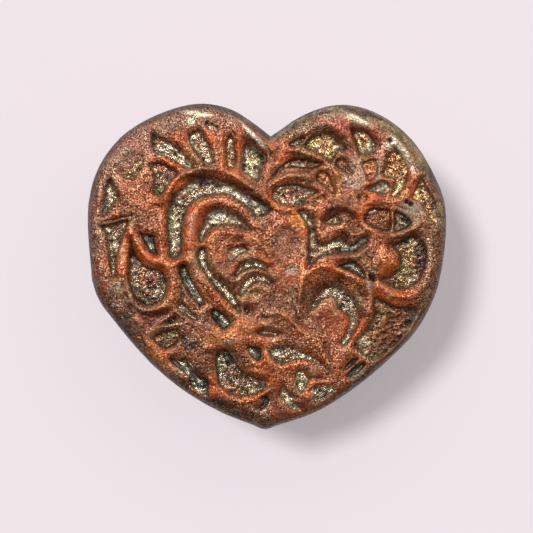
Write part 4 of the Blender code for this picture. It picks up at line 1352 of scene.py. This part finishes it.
def make_dish(heart, glaze):
    """Floor and wall of the dish, one fired body: glazed outside and in, bare under its foot."""
    points, faces, outside, z = dish_form(heart)
    tint = mottle(points, plain_colour(BROWN_COPPER, len(points)), DISH_FIRING)
    tint = coat(tint, "rosy", ease(uneven(points, "rosy")))
    tint = coat(tint, "olive", ease(uneven(points, "olive")))
    # Darker towards the bottom outside, and darker inside the dish, by shares that vary from place to place.
    coat_share = ease(uneven(points, "dish_darkening") - z / 9)
    tint = coat(tint, "dish_darkening", outside * coat_share)
    soot = 0.25 + 0.55 * ease(uneven(points, "inside_darkening"))
    tint = coat(tint, "inside_darkening", (~outside & (z > 1)) * soot)
    bare = z < uneven(points, "bare_edge")
    tint[bare] = linear(BARE_CLAY)
    glazed = {"metal": 0.6 - 0.3 * coat_share, "rough": 0.30 + 0.2 * coat_share, "sparkle": 0.25, "crawl": 0.0}
    values = {key: np.where(bare, BARE_VALUES[key], glazed[key]) for key in glazed}
    piece = make_mesh("dish_body", points, faces, values, tint, glaze)
    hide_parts("base_floor", "base_wall")
    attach(piece, "base")
    return piece


def link(tree, source, target):
    tree.links.new(source, target)


def new_material(name):
    """A material, its node tree and its shader."""
    made = bpy.data.materials.new(name)
    made.use_nodes = True
    return made, made.node_tree, made.node_tree.nodes["Principled BSDF"]


def attribute(tree, name, output="Fac"):
    """A value or colour that the mesh keeps at each point."""
    node = tree.nodes.new("ShaderNodeAttribute")
    node.attribute_name = name
    return node.outputs[output]


def grain(tree, place, size, detail, roughness=0.6):
    """Procedural noise whose lumps are `size` millimetres across."""
    node = tree.nodes.new("ShaderNodeTexNoise")
    node.inputs["Scale"].default_value = 1 / (size * MM)
    node.inputs["Detail"].default_value = detail
    node.inputs["Roughness"].default_value = roughness
    link(tree, place, node.inputs["Vector"])
    return node.outputs["Fac"]


def remap(tree, value, low, high, to_low, to_high):
    """The value between two limits, turned softly into one between two others."""
    node = tree.nodes.new("ShaderNodeMapRange")
    node.interpolation_type = "SMOOTHSTEP"
    link(tree, value, node.inputs["Value"])
    for name, number in zip(("From Min", "From Max", "To Min", "To Max"), (low, high, to_low, to_high)):
        node.inputs[name].default_value = number
    return node.outputs["Result"]


def calculate(tree, operation, first, second=0.0):
    """One or two outputs or numbers put through a sum."""
    node = tree.nodes.new("ShaderNodeMath")
    node.operation = operation
    for value, socket in zip((first, second), node.inputs):
        if isinstance(value, (int, float)):
            socket.default_value = value
        else:
            link(tree, value, socket)
    return node.outputs[0]


def plus(tree, first, second):
    return calculate(tree, "ADD", first, second)


def times(tree, first, second):
    return calculate(tree, "MULTIPLY", first, second)


def mixed(tree, factor, first, second, blend_type="MIX"):
    """A colour mix; a colour may be an output or an RGB triple."""
    node = tree.nodes.new("ShaderNodeMix")
    node.data_type = "RGBA"
    node.blend_type = blend_type
    for value, socket in ((factor, node.inputs[0]), (first, node.inputs[6]), (second, node.inputs[7])):
        if isinstance(value, bpy.types.NodeSocket):
            link(tree, value, socket)
        else:
            socket.default_value = value if isinstance(value, float) else (*value, 1.0)
    return node.outputs[2]


def brightness(tree, fine, coarse, sparkle, crawl):
    """Light and dark grain, strongest where the glaze sparkles, as a grey to multiply a colour by."""
    swing = plus(tree, times(tree, sparkle, SPARKLE_GRIT), times(tree, crawl, CRAWL_GRIT))
    grit = times(tree, remap(tree, fine, *FINE_BRIGHTNESS), plus(tree, swing, LEAST_GRIT))
    bright = plus(tree, grit, remap(tree, coarse, *COARSE_BRIGHTNESS))
    bright = calculate(tree, "MAXIMUM", bright, DARKEST_GRIT)
    grey = tree.nodes.new("ShaderNodeCombineColor")
    for socket in grey.inputs:
        link(tree, bright, socket)
    return grey.outputs[0]


def fired_material(name, pale, gold, relief, gloss):
    """Fired surface: each point's own colour and gloss, broken up by grain, flecks and soot.

    Pale and gold are the colours of the flecks, which are partly painted glints, relief is the height
    of the grain, and gloss is how much clear glaze lies over it.
    """
    made, tree, shader = new_material(name)
    place = tree.nodes.new("ShaderNodeTexCoord").outputs["Object"]
    sparkle = attribute(tree, "sparkle")
    crawl = attribute(tree, "crawl")
    fine = grain(tree, place, FINE_GRAIN, 2)
    coarse = grain(tree, place, COARSE_GRAIN, 3)

    grey = brightness(tree, fine, coarse, sparkle, crawl)
    colour = mixed(tree, 1.0, attribute(tree, "tint", "Color"), grey, "MULTIPLY")
    flecks = ((*GOLD_FLECKS, gold), (*PALE_FLECKS, pale), (*SOOT, tuple(linear(NEAR_BLACK))))
    for size, low, high, most, shade in flecks:
        spots = remap(tree, grain(tree, place, size, 3, 0.7), low, high, 0.0, most)
        colour = mixed(tree, times(tree, spots, sparkle), colour, shade)

    winding = calculate(tree, "SUBTRACT", grain(tree, place, CRAWL_SIZE, 2), 0.5)
    winding = calculate(tree, "ABSOLUTE", winding)
    crease = times(tree, remap(tree, winding, 0.0, CREASE_WIDTH, 1.0, 0.0), crawl)
    colour = mixed(tree, times(tree, crease, CREASE_STRENGTH), colour, tuple(linear(POOLED_GLAZE)))
    link(tree, colour, shader.inputs["Base Color"])

    link(tree, attribute(tree, "metal"), shader.inputs["Metallic"])
    dull = plus(tree, attribute(tree, "rough"), remap(tree, coarse, *COARSE_ROUGHNESS))
    link(tree, dull, shader.inputs["Roughness"])
    shader.inputs["Specular IOR Level"].default_value = DULL_REFLECTION
    link(tree, remap(tree, fine, *COAT_BREAKS, COAT_PEAK * gloss), shader.inputs["Coat Weight"])
    shader.inputs["Coat Roughness"].default_value = COAT_ROUGHNESS
    shader.inputs["Coat IOR"].default_value = COAT_IOR

    lumps = plus(tree, coarse, grain(tree, place, PEBBLE_SIZE, 1))
    lumps = plus(tree, times(tree, fine, FINE_RELIEF), lumps)
    lumps = calculate(tree, "SUBTRACT", lumps, times(tree, crease, CREASE_DEPTH))
    bump = tree.nodes.new("ShaderNodeBump")
    bump.inputs["Strength"].default_value = 1.0
    bump.inputs["Distance"].default_value = relief * MM
    link(tree, lumps, bump.inputs["Height"])
    link(tree, bump.outputs["Normal"], shader.inputs["Normal"])
    link(tree, bump.outputs["Normal"], shader.inputs["Coat Normal"])
    return made


def make_floor():
    """A plain pale floor that glows a little, so that the box's shadow on it stays light."""
    made, _, shader = new_material("pale_floor")
    shader.inputs["Base Color"].default_value = FLOOR_COLOUR
    shader.inputs["Roughness"].default_value = 1.0
    shader.inputs["Specular IOR Level"].default_value = 0.0
    shader.inputs["Emission Color"].default_value = FLOOR_GLOW
    shader.inputs["Emission Strength"].default_value = 1.0
    corners = [(FLOOR_HALF * x, FLOOR_HALF * y, 0) for x, y in ((-1, -1), (1, -1), (1, 1), (-1, 1))]
    mesh = bpy.data.meshes.new("floor")
    mesh.from_pydata(corners, [], [(0, 1, 2, 3)])
    mesh.materials.append(made)
    floor = add_object("floor", mesh)
    return floor


def add_sun(name, direction, power, spread, colour):
    """A distant soft light that shines from a direction; `spread` is its width in degrees."""
    light = bpy.data.lights.new(name, "SUN")
    light.energy = power
    light.angle = radians(spread)
    light.color = colour
    sun = add_object(name, light)
    sun.rotation_mode = "QUATERNION"
    sun.rotation_quaternion = Vector(direction).to_track_quat("Z", "Y")
    return sun


def add_sky():
    """Soft light from all round, brightest towards the notch."""
    world = bpy.data.worlds.new("studio")
    bpy.context.scene.world = world
    world.use_nodes = True
    tree = world.node_tree
    lean = tree.nodes.new("ShaderNodeVectorMath")
    lean.operation = "DOT_PRODUCT"
    link(tree, tree.nodes.new("ShaderNodeTexCoord").outputs["Generated"], lean.inputs[0])
    lean.inputs[1].default_value = Vector(WINDOW_SIDE).normalized()
    strength = remap(tree, lean.outputs["Value"], -0.2, 1.0, *SKY_STRENGTHS)
    background = tree.nodes["Background"]
    background.inputs["Color"].default_value = SKY_COLOUR
    link(tree, strength, background.inputs["Strength"])


def light_only(name, sun, objects):
    """Keeps a light to some objects."""
    lit = bpy.data.collections.new(name)
    for thing in objects:
        lit.objects.link(thing)
    sun.light_linking.receiver_collection = lit


def add_studio(pieces, floor):
    """The sky, a key light from the upper left, and small bright lights from the notch's side.

    The small ones light the pieces alone, so that the floor has one shadow only. A second key lights
    the floor alone, so that the shadow is deep while the rest of the floor stays even.
    """
    add_sky()
    add_sun("key", *KEY)
    for number, light in enumerate(GLINTS):
        light_only(f"lit_by_glint_{number}", add_sun(f"glint_{number}", *light), pieces)
    direction, _, spread, colour = KEY
    light_only("lit_by_floor_key", add_sun("floor_key", direction, FLOOR_KEY, spread, colour), [floor])


def add_camera():
    """Straight above, with the notch at the top of the picture."""
    data = bpy.data.cameras.new("camera")
    data.lens = LENS
    data.sensor_width = SENSOR
    data.clip_start = 0.01
    camera = add_object("camera", data)
    distance = FIELD * LENS / SENSOR
    camera.location = (CAMERA_X * MM, 0.0, (LID_HIGH[2] - FIELD_DROP + distance) * MM)
    bpy.context.scene.camera = camera
    bpy.context.scene.view_settings.view_transform = "Standard"


heart = Heart()
glaze = fired_material("copper_glaze", *GLAZE)
clay = fired_material("smoked_clay", *CLAY)
pieces = [make_dish(heart, glaze), make_collar(heart, clay), make_lid(heart, glaze)]
add_studio(pieces, make_floor())
add_camera()
